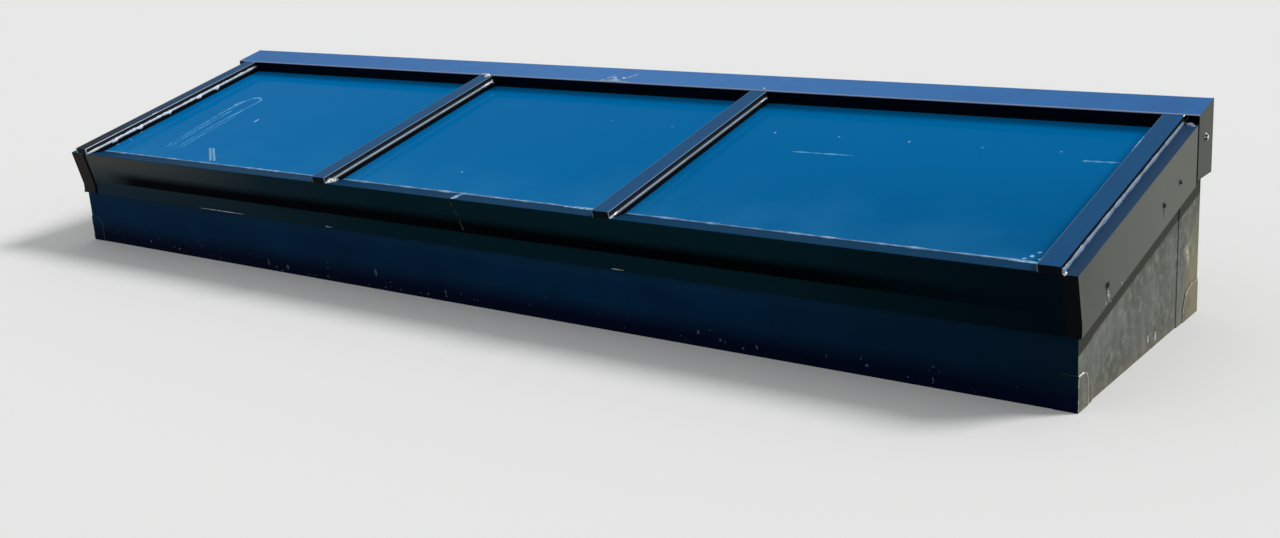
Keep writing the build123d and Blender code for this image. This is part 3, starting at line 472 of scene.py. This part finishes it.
# Gaskets, setting blocks and tapes: extruded EPDM rubber, dull black with a dusty bloom.
# The outer gaskets stand tall beside the plates and carry them on the glass.
epdm = mottled("extruded EPDM", 0.75, "#030406", "#0C1016", 18, detail=5, Specular_IOR_Level=0.04)
dress(epdm, "inner_gaskets", "outer_gaskets", "setting_blocks", "ridge_tapes")

# Packers and edge fillers: rigid PVC foam, grey and matte, with small closed cells.
# They fill the edge of the end bars, and hold the side sheets off the rafters.
foam, tree, place, shader = new_finish("rigid PVC foam", 0.8)
cells = add(tree, "ShaderNodeTexVoronoi", {"Vector": place, "Scale": per(2.5)})
colour(tree, shader, "#3A3C3E", ("#2C2E30", cells))
dress(foam, "edge_fillers", "side_packer")

# Outer lites: body-tinted blue float glass with a reflective coating, flat and polished. Their deep blue,
# lighter to the left and darker low on the right, is the glass's tint with a painted reflection of blue sky,
# and rain has left a thin haze of dust, most of it low down.
coated_glass, tree, place, shader = new_finish("blue coated glass with painted sky reflection", 0.08, Specular_IOR_Level=0.002, IOR=1.52)
spot = add(tree, "ShaderNodeSeparateXYZ", {"Vector": place}).outputs
haze = add(tree, "ShaderNodeTexNoise", {"Vector": place, "Scale": per(260), "Detail": 4, "Roughness": 0.55})
low_down = add(tree, "ShaderNodeMapRange", {"Value": spot["Y"], "From Min": 0.2, "From Max": -0.42})
hazy = add(tree, "ShaderNodeMath", {0: haze, 1: low_down}, operation="MULTIPLY")
colour(tree, shader, "#0066A0", ("#006BA9", (spot["X"], 0.6, -1.9)),
       ("#005688", (spot["X"], 0.2, 1.9), low_down), ("#2B78AE", (hazy, 0.25, 0.6, 0.35)))
polish = add(tree, "ShaderNodeMapRange", {"Value": haze, "To Min": 0.06, "To Max": 0.16})
tree.links.new(polish.outputs[0], shader.inputs["Roughness"])
dress(coated_glass, "outer_lite")


# Dried wash water on the glass: a looped double wipe, short dashes, single drops and two strips of old glue.
# Hazy films a fraction of a millimetre thick, lighter than the blue below them.
def laid(paths, n=0):
    """Paths of (x, s, width factor) as places at height n over the slope"""
    return [[(on_slope(x, s, n), factor) for x, s, factor in path] for path in paths]


glass_out = on_slope(0, 0, 1) - on_slope(0, 0, 0)
wash_film = mottled("dried wash water", 0.5, "#2179B4", "#67A9D4", 12, detail=5, grit=0.7, fade=(0.35, 0.65),
                    Specular_IOR_Level=0.03)
wipe = [[(-1.627, 0.100, 0.6), (-1.656, 0.347, 0.9), (-1.668, 0.470, 1), (-1.660, 0.560, 1.1),
         (-1.645, 0.592, 1.2), (-1.610, 0.598, 1.2), (-1.583, 0.582, 1.2), (-1.580, 0.555, 1.2),
         (-1.585, 0.440, 1), (-1.587, 0.339, 0.9), (-1.575, 0.200, 0.7), (-1.567, 0.110, 0.6)],
        [(-1.605, 0.110, 0.5), (-1.628, 0.300, 0.7), (-1.640, 0.500, 0.6)],
        [(-1.545, 0.120, 0.5), (-1.560, 0.300, 0.6), (-1.562, 0.430, 0.5)],
        [(-1.905, 0.160, 0.5), (-1.880, 0.155, 0.7), (-1.850, 0.140, 0.5)],
        [(1.760, 0.607, 0.8), (1.810, 0.609, 1.1), (1.866, 0.612, 0.7)],
        [(0.900, 0.520, 0.5), (1.010, 0.523, 0.8), (1.110, 0.526, 0.5)]]
smeared("wipe_marks", "sealant", wash_film, glass_out, laid(wipe),
        width=0.009, height=0.0003, uneven=0.5, lump=0.03, seed=3.0)
bright_film = mottled("dried soap", 0.5, "#6FAAD6", "#A6D2F2", 9, detail=5, Specular_IOR_Level=0.05)
dashes = [[(-1.683, 0.518, 0.8), (-1.668, 0.545, 1), (-1.655, 0.566, 0.7)],
          [(-1.640, 0.590, 0.6), (-1.622, 0.596, 0.8), (-1.600, 0.592, 0.6)],
          [(-1.413, 0.388, 0.7), (-1.416, 0.420, 0.9)],
          [(-1.905, 0.104, 1.2), (-1.897, 0.110, 1.2)], [(-1.905, 0.220, 0.9), (-1.898, 0.226, 0.9)],
          [(-0.148, 0.180, 1.1), (-0.141, 0.185, 1.1)]]
dashes += [[(x - 0.004, s, 0.7), (x + 0.004, s + 0.003, 0.7)]
           for x, s in ((0.140, 0.632), (0.392, 0.622), (0.774, 0.635), (0.996, 0.640), (1.228, 0.642),
                        (1.458, 0.639), (1.685, 0.651))]
dashes += [[(x - 0.006, s, 0.7), (x + 0.005, s + 0.006, 0.9)]
           for x, s in ((1.842, 0.070), (1.853, 0.092), (1.868, 0.060), (1.829, 0.055), (1.884, 0.084))]
smeared("soap_dashes", "sealant", bright_film, glass_out, laid(dashes),
        width=0.009, height=0.0004, uneven=0.4, lump=0.008, seed=4.0)
glue = mottled("dried glue", 0.6, "#4585B3", "#86B3D2", 7, detail=5, Specular_IOR_Level=0.05)
glue_strips = [[(-1.400, 0.158, 1), (-1.286, 0.065, 1)], [(-1.381, 0.158, 1), (-1.267, 0.067, 1)]]
smeared("glue_residue", "sealant", glue, glass_out, laid(glue_strips),
        width=0.010, height=0.0003, uneven=0.1, lump=0.01, seed=5.0, blunt=100.0)

# Inner lites: clear float glass, faintly green, under the outer ones.
# Cut and sealed to the bar spacers all round.
clear_glass = mottled("clear float glass", 0.01, "#DCEBE6", "#CFE3DE", 300, detail=1, IOR=1.52,
                      Transmission_Weight=1)
dress(clear_glass, "inner_lite")

# Pressure plates: bare aluminium channels that clamp the gaskets down on the glass.
# Bright in a band 22 mm over the glass, with scuffs and the grey smears of old protective film, dark grey
# above and below that band, and black along the lips: painted shade in the cap's groove.
scuffed_aluminium, tree, place, shader = new_finish("scuffed bare aluminium", 0.5, Metallic=0.6)
drawn = add(tree, "ShaderNodeMapping", {"Vector": place, "Scale": (1, 0.12, 0.5)})
scuffs = add(tree, "ShaderNodeTexNoise", {"Vector": drawn, "Scale": per(14), "Detail": 7, "Roughness": 0.7})
rise = on_sheet(tree, place)["Z"]
pale_line = 0.0222  # height over the glass of the wiped line along the plate's side
# Painted shade: the plate's side is black above about 26 mm, in the groove under the cap.
painted_groove_shade = add(tree, "ShaderNodeMapRange", {"Value": rise, "From Min": 0.0258, "From Max": 0.0272})
from_line = add(tree, "ShaderNodeMath", {0: rise, 1: pale_line}, operation="SUBTRACT")
off_line = add(tree, "ShaderNodeMath", {0: from_line}, operation="ABSOLUTE")
colour(tree, shader, "#E2E6DF", ("#B4BBB5", (scuffs, 0.36, 0.64)),
       ("#1C2329", (off_line, 0.0022, 0.0042, 0.85)), ("#030508", painted_groove_shade))
bare = add(tree, "ShaderNodeMapRange", {"Value": painted_groove_shade, "To Min": 0.6, "To Max": 0.0})
tree.links.new(bare.outputs[0], shader.inputs["Metallic"])
wear = add(tree, "ShaderNodeMapRange", {"Value": scuffs, "To Min": 0.35, "To Max": 0.65})
tree.links.new(wear.outputs[0], shader.inputs["Roughness"])
dents = add(tree, "ShaderNodeBump", {"Height": scuffs, "Strength": 0.3, "Distance": 0.001})
tree.links.new(dents.outputs[0], shader.inputs["Normal"])
dress(scuffed_aluminium, "pressure_plate")

# Smeared sealant on the end bars: silicone wiped along the plates' right sides by hand.
# A lumpy white skin on the left bar, with a fat dab at each fixing, and a grey fillet over the flange
# on the right bar.
white_silicone = mottled("wiped white silicone", 0.45, "#F2F6F8", "#BCC6CE", 10, detail=5, grit=0.6,
                         fade=(0.35, 0.7))
left_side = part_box("pressure_plate_left_end")[1][0]
skin = [[(on_slope(left_side, s, n), factor)
         for s, n, factor in ((-0.028, 0.022, 0.8), (0.15, 0.022, 1.1), (0.4, 0.022, 1),
                              (0.6, 0.0225, 0.85), (0.842, 0.024, 0.9))]]
smeared("left_bar_sealant", "sealant", white_silicone, to_right, skin,
        width=0.0085, height=0.0012, uneven=0.25, lump=0.022, seed=6.0, blunt=400.0)
dab_reach = 0.016
dabs = [[(on_slope(left_side, s - dab_reach, 0.021), 0.7), (on_slope(left_side, s, 0.018), 1.1),
         (on_slope(left_side, s + dab_reach, 0.021), 0.7)] for s in (0.099, 0.222, 0.371, 0.527, 0.622)]
smeared("left_bar_dabs", "sealant", white_silicone, to_right, dabs,
        width=0.013, height=0.004, uneven=0.3, lump=0.01, seed=7.0)
cap_top = 0.0422
blots = laid([[(left_side - 0.003, 0.296, 1.2), (left_side - 0.0015, 0.325, 0.9)]], cap_top)
smeared("left_cap_blot", "sealant", white_silicone, glass_out, blots,
        width=0.006, height=0.0008, uneven=0.4, lump=0.008, seed=13.0)
grey_silicone = mottled("wiped grey silicone", 0.45, "#8195AD", "#566A82", 12, detail=5, grit=0.6,
                        fade=(0.35, 0.7))
right_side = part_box("pressure_plate_right_end")[1][0]
plate_lip, flange_top = 0.0265, 0.0225
fillet = laid([[(right_side, s, factor) for s, factor in
                ((-0.028, 1.1), (0.1, 1), (0.25, 1), (0.4, 0.9), (0.6, 0.85), (0.83, 0.8))]], plate_lip)
smeared("right_bar_sealant", "sealant", grey_silicone, Vector((1, 0, 0.35)).normalized(), fillet,
        width=0.014, height=0.003, uneven=0.18, lump=0.035, seed=8.0, blunt=400.0)
torn = laid([[(1.962, 0.836, 1), (1.977, 0.829, 1.3), (1.992, 0.816, 0.8)]], flange_top)
smeared("right_flange_scrap", "sealant", grey_silicone, glass_out, torn,
        width=0.012, height=0.003, uneven=0.5, lump=0.006, seed=20.0)

# Torn foil at the ends of the bars: scraps of aluminium flashing tape left under the caps.
# Thin, bright and crumpled.
foil, tree, place, shader = new_finish("crumpled aluminium foil", 0.3, Metallic=0.8)
creases = add(tree, "ShaderNodeTexVoronoi", {"Vector": place, "Scale": per(5)})
colour(tree, shader, "#F2F4F5", ("#9DA3A8", creases))
crumple = add(tree, "ShaderNodeBump", {"Height": creases, "Strength": 0.7, "Distance": 0.002})
tree.links.new(crumple.outputs[0], shader.inputs["Normal"])
left_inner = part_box("pressure_plate_inner_left")[1][0]
right_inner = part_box("pressure_plate_inner_right")[1][0]
scraps = [[(left_inner + 0.001, -0.031, 0.023, 1), (left_inner + 0.004, -0.012, 0.023, 1.2),
           (left_inner + 0.007, 0.006, 0.019, 0.9), (left_inner + 0.004, 0.018, 0.022, 0.6)],
          [(left_inner + 0.010, -0.010, 0.0185, 0.7), (left_inner + 0.015, 0.004, 0.0170, 0.8),
           (left_inner + 0.010, 0.018, 0.0165, 0.6)],
          [(left_inner - 0.022, 0.826, 0.0425, 0.9), (left_inner - 0.010, 0.8425, 0.0430, 1.5)],
          [(left_inner - 0.055, 0.846, 0.0450, 0.4), (left_inner - 0.020, 0.850, 0.0450, 0.9)],
          [(left_inner + 0.001, 0.776, 0.022, 0.6), (left_inner + 0.0015, 0.812, 0.022, 0.9),
           (left_inner + 0.002, 0.842, 0.022, 1.3)],
          [(right_inner + 0.001, -0.031, 0.021, 0.8), (right_inner + 0.001, -0.012, 0.022, 0.8),
           (right_inner + 0.001, 0.012, 0.024, 0.4)],
          [(right_inner - 0.020, 0.858, 0.0442, 0.5), (right_inner - 0.014, 0.862, 0.0442, 0.7)],
          [(right_inner + 0.001, 0.80, 0.022, 0.5), (right_inner + 0.002, 0.842, 0.021, 0.7)],
          # The next scrap, on the right cap's top corner, stands in for a sun glint there: a painted
          # highlight.
          [(right_side - 0.003, 0.838, 0.0425, 0.7), (right_side + 0.001, 0.8435, 0.0415, 0.8)],
          [(right_side + 0.002, -0.031, 0.0235, 0.8), (right_side + 0.012, -0.026, 0.0235, 0.7)]]
smeared("foil_scraps", "bare_aluminium", foil, Vector((1, 0, 0.5)).normalized(),
        [[(on_slope(x, s, n), factor) for x, s, n, factor in path] for path in scraps],
        width=0.010, height=0.003, uneven=0.5, lump=0.006, seed=9.0)


# Snap caps: folded aluminium with a polyester powder coat, blue-black and nearly matte. Upward faces carry a
# painted pale blue reflection of sky, and a painted highlight runs pale along both long edges of each cap.
def coated(name, sky_reflection):
    """Powder coat with a painted sky reflection on its upward faces; gives back what a section needs to add
    its own wear and painted light
    """
    material, tree, place, shader = new_finish(name, 0.45, Specular_IOR_Level=0.03)
    facing = add(tree, "ShaderNodeSeparateXYZ",
                 {"Vector": add(tree, "ShaderNodeNewGeometry").outputs["Normal"]}).outputs
    cloudy = add(tree, "ShaderNodeTexNoise", {"Vector": place, "Scale": per(120), "Detail": 4})
    # Painted reflection: upward faces take a pale blue, as if mirroring the sky.
    upward = add(tree, "ShaderNodeMapRange", {"Value": facing["Z"], "From Min": 0.6, "From Max": 0.95})
    patchy = add(tree, "ShaderNodeMapRange", {"Value": cloudy, "To Min": 0.75, "To Max": 1.2})
    painted_sky_reflection = add(tree, "ShaderNodeMath", {0: upward, 1: patchy}, operation="MULTIPLY", use_clamp=True)
    satin = add(tree, "ShaderNodeMapRange", {"Value": cloudy, "To Min": 0.38, "To Max": 0.52})
    tree.links.new(satin.outputs[0], shader.inputs["Roughness"])
    orange_peel = add(tree, "ShaderNodeTexNoise", {"Vector": place, "Scale": per(5), "Detail": 2})
    peel = add(tree, "ShaderNodeBump", {"Height": orange_peel, "Strength": 0.08, "Distance": 0.0006})
    tree.links.new(peel.outputs[0], shader.inputs["Normal"])
    return material, tree, place, shader, facing, patchy, (sky_reflection, painted_sky_reflection)


cap_coat, tree, place, shader, _, _, painted_sky_reflection = coated("powder coat with painted edge highlights", "#144B77")
along_bar = on_sheet(tree, place)
mirrored = add(tree, "ShaderNodeMath", {0: along_bar["X"]}, operation="ABSOLUTE")
away = []
for bar in (1.930, 0.594):
    offset = add(tree, "ShaderNodeMath", {0: mirrored, 1: bar}, operation="SUBTRACT")
    away.append(add(tree, "ShaderNodeMath", {0: offset}, operation="ABSOLUTE"))
nearest = add(tree, "ShaderNodeMath", {0: away[0], 1: away[1]}, operation="MINIMUM")
shaded = ((along_bar["X"], -1.8, -1.85), (along_bar["Y"], 0.9, 0.05))
# Painted highlights: a pale line along both long edges of each cap, brighter low on the left end bar.
painted_edge_highlight = ((nearest, 0.0278, 0.0293, 0.8), (along_bar["X"], 1.95, 1.94))
colour(tree, shader, "#02070D", painted_sky_reflection, ("#05111F", *shaded), ("#788CA2", *painted_edge_highlight),
       ("#D3DCE6", *painted_edge_highlight, *shaded))
dress(cap_coat, "cap_")

# Fascia: one folded sheet with nosing, front face and skirt, in the same coat. The front is black with
# painted shade, darker at the right end, greyed to the left and olive high up at the far left by a painted
# reflection of the sunlit roof, with a black band of painted shade under the fold and a dark seam.
fascia_coat, tree, place, shader, facing, _, painted_sky_reflection = coated("shaded powder coat", "#0C3655")
shader.inputs["Specular IOR Level"].default_value = 0.006
spot = add(tree, "ShaderNodeSeparateXYZ", {"Vector": place}).outputs
front = add(tree, "ShaderNodeMapRange", {"Value": facing["Y"], "From Min": -0.6, "From Max": -0.9})
seam_x = -1.9215
from_seam = add(tree, "ShaderNodeMath", {0: spot["X"], 1: -seam_x}, operation="ADD")
off_seam = add(tree, "ShaderNodeMath", {0: from_seam}, operation="ABSOLUTE")
# Painted light on the front: the grey to the left and the olive at the far left are a reflection, the black
# band under the fold is shade.
colour(tree, shader, "#041E25", painted_sky_reflection, ("#1E2D38", (spot["X"], -0.3, -2.1), front),
       ("#00070F", (spot["X"], 1.1, 1.9, 0.8), front),
       ("#4C4D48", (spot["X"], -0.9, -2.0), (spot["Z"], 0.23, 0.33), front),
       ("#000103", (spot["Z"], 0.300, 0.270), (spot["Z"], 0.2405, 0.2445), (spot["X"], -1.84, -1.66),
        (spot["X"], 1.95, 1.3)),
       ("#000103", (off_seam, 0.0085, 0.006), front))
dress(fascia_coat, "fascia_left", "fascia_right")

# Cover over the fascia's left end: a folded strip of the same sheet, lapped round from the side.
# It stands a sheet's thickness proud, and dust has turned its coat brown.
cover_coat, tree, place, shader, *_ = coated("brown dusty powder coat with painted sunlight", "#0F3B5C")
rough_dust = add(tree, "ShaderNodeTexNoise", {"Vector": place, "Scale": per(14), "Detail": 5})
colour(tree, shader, "#131110", ("#272322", rough_dust))
cover_low, cover_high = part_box("side_flashing_left")[0][0] + 0.001, -1.929
cover_inner, cover_outer = 0.0002, 0.0014  # its two faces in front of the fascia
fold_top, fold_foot = on_slope(0, -0.032, 0.016), on_slope(0, -0.032, -0.112)
skirt_y = fold_foot.y - 0.0004
cover_line = [(fold_top.y, fold_top.z), (fold_foot.y, fold_foot.z), (skirt_y, 0.2005),
              (skirt_y - 0.003, 0.1925)]
corners = [(x, y - proud, z) for y, z in cover_line for x in (cover_low, cover_high)
           for proud in (cover_inner, cover_outer)]
rings = [(4 * step, 4 * step + 1, 4 * step + 3, 4 * step + 2) for step in range(len(cover_line))]
walls = [(low[side], low[(side + 1) % 4], high[(side + 1) % 4], high[side])
         for low, high in zip(rings, rings[1:]) for side in range(4)]
cover_mesh = bpy.data.meshes.new("left end cover")
cover_mesh.from_pydata(corners, [], [rings[0][::-1], rings[-1], *walls])
cover_mesh.materials.append(cover_coat)
cover = bpy.data.objects.new("left_end_cover", cover_mesh)
bpy.context.scene.collection.objects.link(cover)
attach(cover, "root")

# Side flashings: folded sheets with a top flange. The upright faces are grey with dust and painted sunlight,
# darker towards the eave, and painted shade blackens them where they go in under the ridge cap's end plates.
ridge_plate = on_slope(0, 0.8452, 0.044).y  # front edge of the ridge cap's end plates
side_coat, tree, place, shader, facing, patchy, painted_sky_reflection = coated("dusty powder coat with painted sunlight", "#233F5E")
spot = add(tree, "ShaderNodeSeparateXYZ", {"Vector": place}).outputs
sideways = add(tree, "ShaderNodeMath", {0: facing["X"]}, operation="ABSOLUTE")
upright = add(tree, "ShaderNodeMapRange", {"Value": sideways, "From Min": 0.6, "From Max": 0.95})
dust_and_sunlight = add(tree, "ShaderNodeMath", {0: upright, 1: patchy}, operation="MULTIPLY", use_clamp=True)
# Painted light: the grey of the upright faces is dust and sunlight; the black near the ridge end plate is
# painted shade.
colour(tree, shader, "#04060A", painted_sky_reflection, ("#525651", dust_and_sunlight), ("#5F615A", (spot["Y"], -0.45, 0.1), dust_and_sunlight),
       ("#020304", (spot["Y"], ridge_plate - 0.0135, ridge_plate - 0.012)))
dress(side_coat, "side_flashing")

# Ridge cap: folded sheet in two lengths. A painted reflection of sky lightens its top, above all in the
# middle, a painted highlight runs pale along its front fold, and the back leg and the end plates are grey
# with dust and painted sunlight.
ridge_coat, tree, place, shader, facing, patchy, painted_sky_reflection = coated("powder coat with painted sky reflection and sunlight", "#3067A3")
sideways = add(tree, "ShaderNodeMath", {0: facing["X"]}, operation="ABSOLUTE")
slant = on_sheet(tree, place)
from_middle = add(tree, "ShaderNodeMath", {0: slant["X"]}, operation="ABSOLUTE")
# Painted light: the pale top is a sky reflection, the pale front fold a highlight, the grey back and ends
# dust and sunlight.
colour(tree, shader, "#020510", painted_sky_reflection, ("#4579B5", (from_middle, 1.9, 0.2, 0.7), painted_sky_reflection[1]),
       ("#8C98B4", (slant["Y"], 0.8507, 0.8482), (slant["Z"], 0.0405, 0.0425)),
       ("#2C3136", (facing["Y"], 0.6, 0.95), patchy), ("#4C4E49", (sideways, 0.6, 0.95)))
dress(ridge_coat, "ridge_cap")

# Sealant: neutral silicone, pale blue-grey. A tooled bead runs along the back edge of the nosing,
# and both sheet joints are smeared over by hand.
silicone = mottled("grey silicone", 0.5, "#8DA3BC", "#5F7690", 14)
dress(silicone, "sill_beads")
pale_silicone = mottled("bleached silicone", 0.5, "#4D7196", "#93B4D2", 40, fade=(0.35, 0.65),
                        Specular_IOR_Level=0.05)
nosing_smear = [(0.004, -0.029, 0.0210, 0.8), (-0.003, -0.010, 0.0158, 1), (-0.010, 0.010, 0.0102, 1),
                (-0.018, 0.036, 0.0030, 0.9)]
smeared("fascia_joint_smear", "sealant", pale_silicone, glass_out,
        [[(on_slope(x, s, n), factor) for x, s, n, factor in nosing_smear]],
        width=0.019, height=0.0012, uneven=0.35, lump=0.012, seed=10.0)
ridge_top = 0.044
ridge_smears = [[(-0.064, 0.852, 0.9), (-0.044, 0.868, 1.2), (-0.038, 0.892, 0.8), (-0.022, 0.922, 0.6)],
                [(0.020, 0.874, 0.9), (0.038, 0.896, 0.7), (0.056, 0.922, 0.5)],
                [(-0.030, 0.856, 1.2), (-0.006, 0.862, 1.5), (0.016, 0.859, 0.9)]]
smeared("ridge_joint_smear", "sealant", pale_silicone, glass_out, laid(ridge_smears, ridge_top),
        width=0.011, height=0.0008, uneven=0.5, lump=0.01, seed=11.0)
ridge_blobs = [[(-0.027, 0.876, 0.8), (-0.018, 0.884, 1.1), (-0.012, 0.881, 0.6)],
               [(0.014, 0.880, 0.8), (0.024, 0.884, 1)]]
smeared("ridge_joint_blobs", "sealant", white_silicone, glass_out, laid(ridge_blobs, ridge_top + 0.0005),
        width=0.010, height=0.0014, uneven=0.4, lump=0.006, seed=22.0, blunt=6.0)
front_smears = [[(-0.062, 0.852, 1.2), (0.0, 0.853, 1), (0.058, 0.852, 0.8)]]
smeared("ridge_joint_film", "sealant", lap_caulk, glass_out, laid(front_smears, ridge_top),
        width=0.007, height=0.0005, uneven=0.6, lump=0.012, seed=14.0)
face_smears = [[((-0.004, -0.4818, 0.350), 0.7), ((0.004, -0.4765, 0.328), 1)],
               [((0.006, -0.4748, 0.320), 0.9), ((0.013, -0.4690, 0.296), 1)],
               [((0.016, -0.4672, 0.288), 0.8), ((0.024, -0.4590, 0.250), 0.9)]]
smeared("fascia_joint_film", "sealant", dirt, to_front, face_smears,
        width=0.009, height=0.0006, uneven=0.6, lump=0.01, seed=14.0)
bead_s, bead_top = 0.0425, 0.0008
bead_lines = laid([[(low, bead_s, 1), (high, bead_s, 1)]
                   for low, high in ((-1.898, -0.626), (-0.562, 0.562), (0.626, 1.898))], bead_top)
smeared("sill_bead_skin", "sealant", pale_silicone, glass_out, bead_lines,
        width=0.0105, height=0.0024, uneven=0.25, lump=0.06, seed=15.0, blunt=2000.0)
bead_ends = [[(on_slope(low, 0.040, 0.0012), 0.5), (on_slope((low + high) / 2, 0.037, 0.0016), 1.1),
              (on_slope(high, 0.039, 0.0014), 0.9)]
             for low, high in ((0.385, 0.545), (1.775, 1.888), (-0.700, -0.640))]
smeared("bead_end_lumps", "sealant", bright_film, glass_out, bead_ends,
        width=0.012, height=0.0026, uneven=0.5, lump=0.02, seed=21.0)
cap_streaks = laid([[(1.8695, 0.715, 0.8), (1.8720, 0.770, 1), (1.8790, 0.815, 0.8)]], 0.0005)
cap_streaks += laid([[(1.9005, 0.60, 0.5), (1.9005, 0.70, 0.8)]], 0.0418)
smeared("cap_edge_streak", "sealant", pale_silicone, glass_out, cap_streaks,
        width=0.006, height=0.0006, uneven=0.4, lump=0.02, seed=16.0)

# Painted glints along the drip edge of the skirt: sun caught on the edge, laid on as pale strips.
# Each is a long thin flake on the edge's outer face.
glint_finish = mottled("pale painted glint", 0.5, "#A5B0BA", "#5F6B76", 10)
drip_y, drip_z = -0.4556, 0.196
drip_glints = [[((low, drip_y, drip_z), 0.4), (((low + high) / 2, drip_y, drip_z), 1),
                ((high, drip_y, drip_z), 0.3)]
               for low, high in ((-1.29, -1.04), (-0.62, -0.585), (0.595, 0.645))]
smeared("drip_edge_glints", "dark_paint", glint_finish, to_front, drip_glints,
        width=0.0032, height=0.0006, uneven=0.5, lump=0.02, seed=17.0)

# Studio: a pale floor, a soft key light from the back right and an even pale surround.
# Metal and glass see the same pale backdrop as the camera.
floor_half = 30
floor_mesh = bpy.data.meshes.new("studio floor")
floor_mesh.from_pydata([(-floor_half, -floor_half, 0), (floor_half, -floor_half, 0),
                        (floor_half, floor_half, 0), (-floor_half, floor_half, 0)], [], [(0, 1, 2, 3)])
floor = bpy.data.objects.new("studio floor", floor_mesh)
bpy.context.scene.collection.objects.link(floor)
matte_floor, tree, place, shader = new_finish("matte studio floor", 0.9, Specular_IOR_Level=0.1)
shader.inputs["Base Color"].default_value = linear("#E4E4E2")
floor_mesh.materials.append(matte_floor)

key_from = Vector((4.2, 3.2, 5.2))
key_light = bpy.data.lights.new("key", "SUN")
key_light.energy = 2.2
key_light.angle = radians(18)
key = bpy.data.objects.new("key", key_light)
key.rotation_mode = "QUATERNION"
key.rotation_quaternion = (-key_from).to_track_quat("-Z", "Y")
bpy.context.scene.collection.objects.link(key)

world = bpy.data.worlds.new("studio surround")
world.use_nodes = True
bpy.context.scene.world = world
tree = world.node_tree
tree.nodes.clear()
ray = add(tree, "ShaderNodeLightPath")
mirrored = add(tree, "ShaderNodeMath",
               {0: ray.outputs["Is Glossy Ray"], 1: ray.outputs["Is Transmission Ray"]}, operation="MAXIMUM")
seen = add(tree, "ShaderNodeMath", {0: ray.outputs["Is Camera Ray"], 1: mirrored}, operation="MAXIMUM")
surround = add(tree, "ShaderNodeBackground", {"Color": linear("#F2F4F6"), "Strength": 0.6})
backdrop = add(tree, "ShaderNodeBackground", {"Color": linear("#F4F5F6"), "Strength": 1.0})
chosen = add(tree, "ShaderNodeMixShader", {0: seen, 1: surround, 2: backdrop})
add(tree, "ShaderNodeOutputWorld", {"Surface": chosen})
bpy.context.scene.view_settings.view_transform = "Standard"
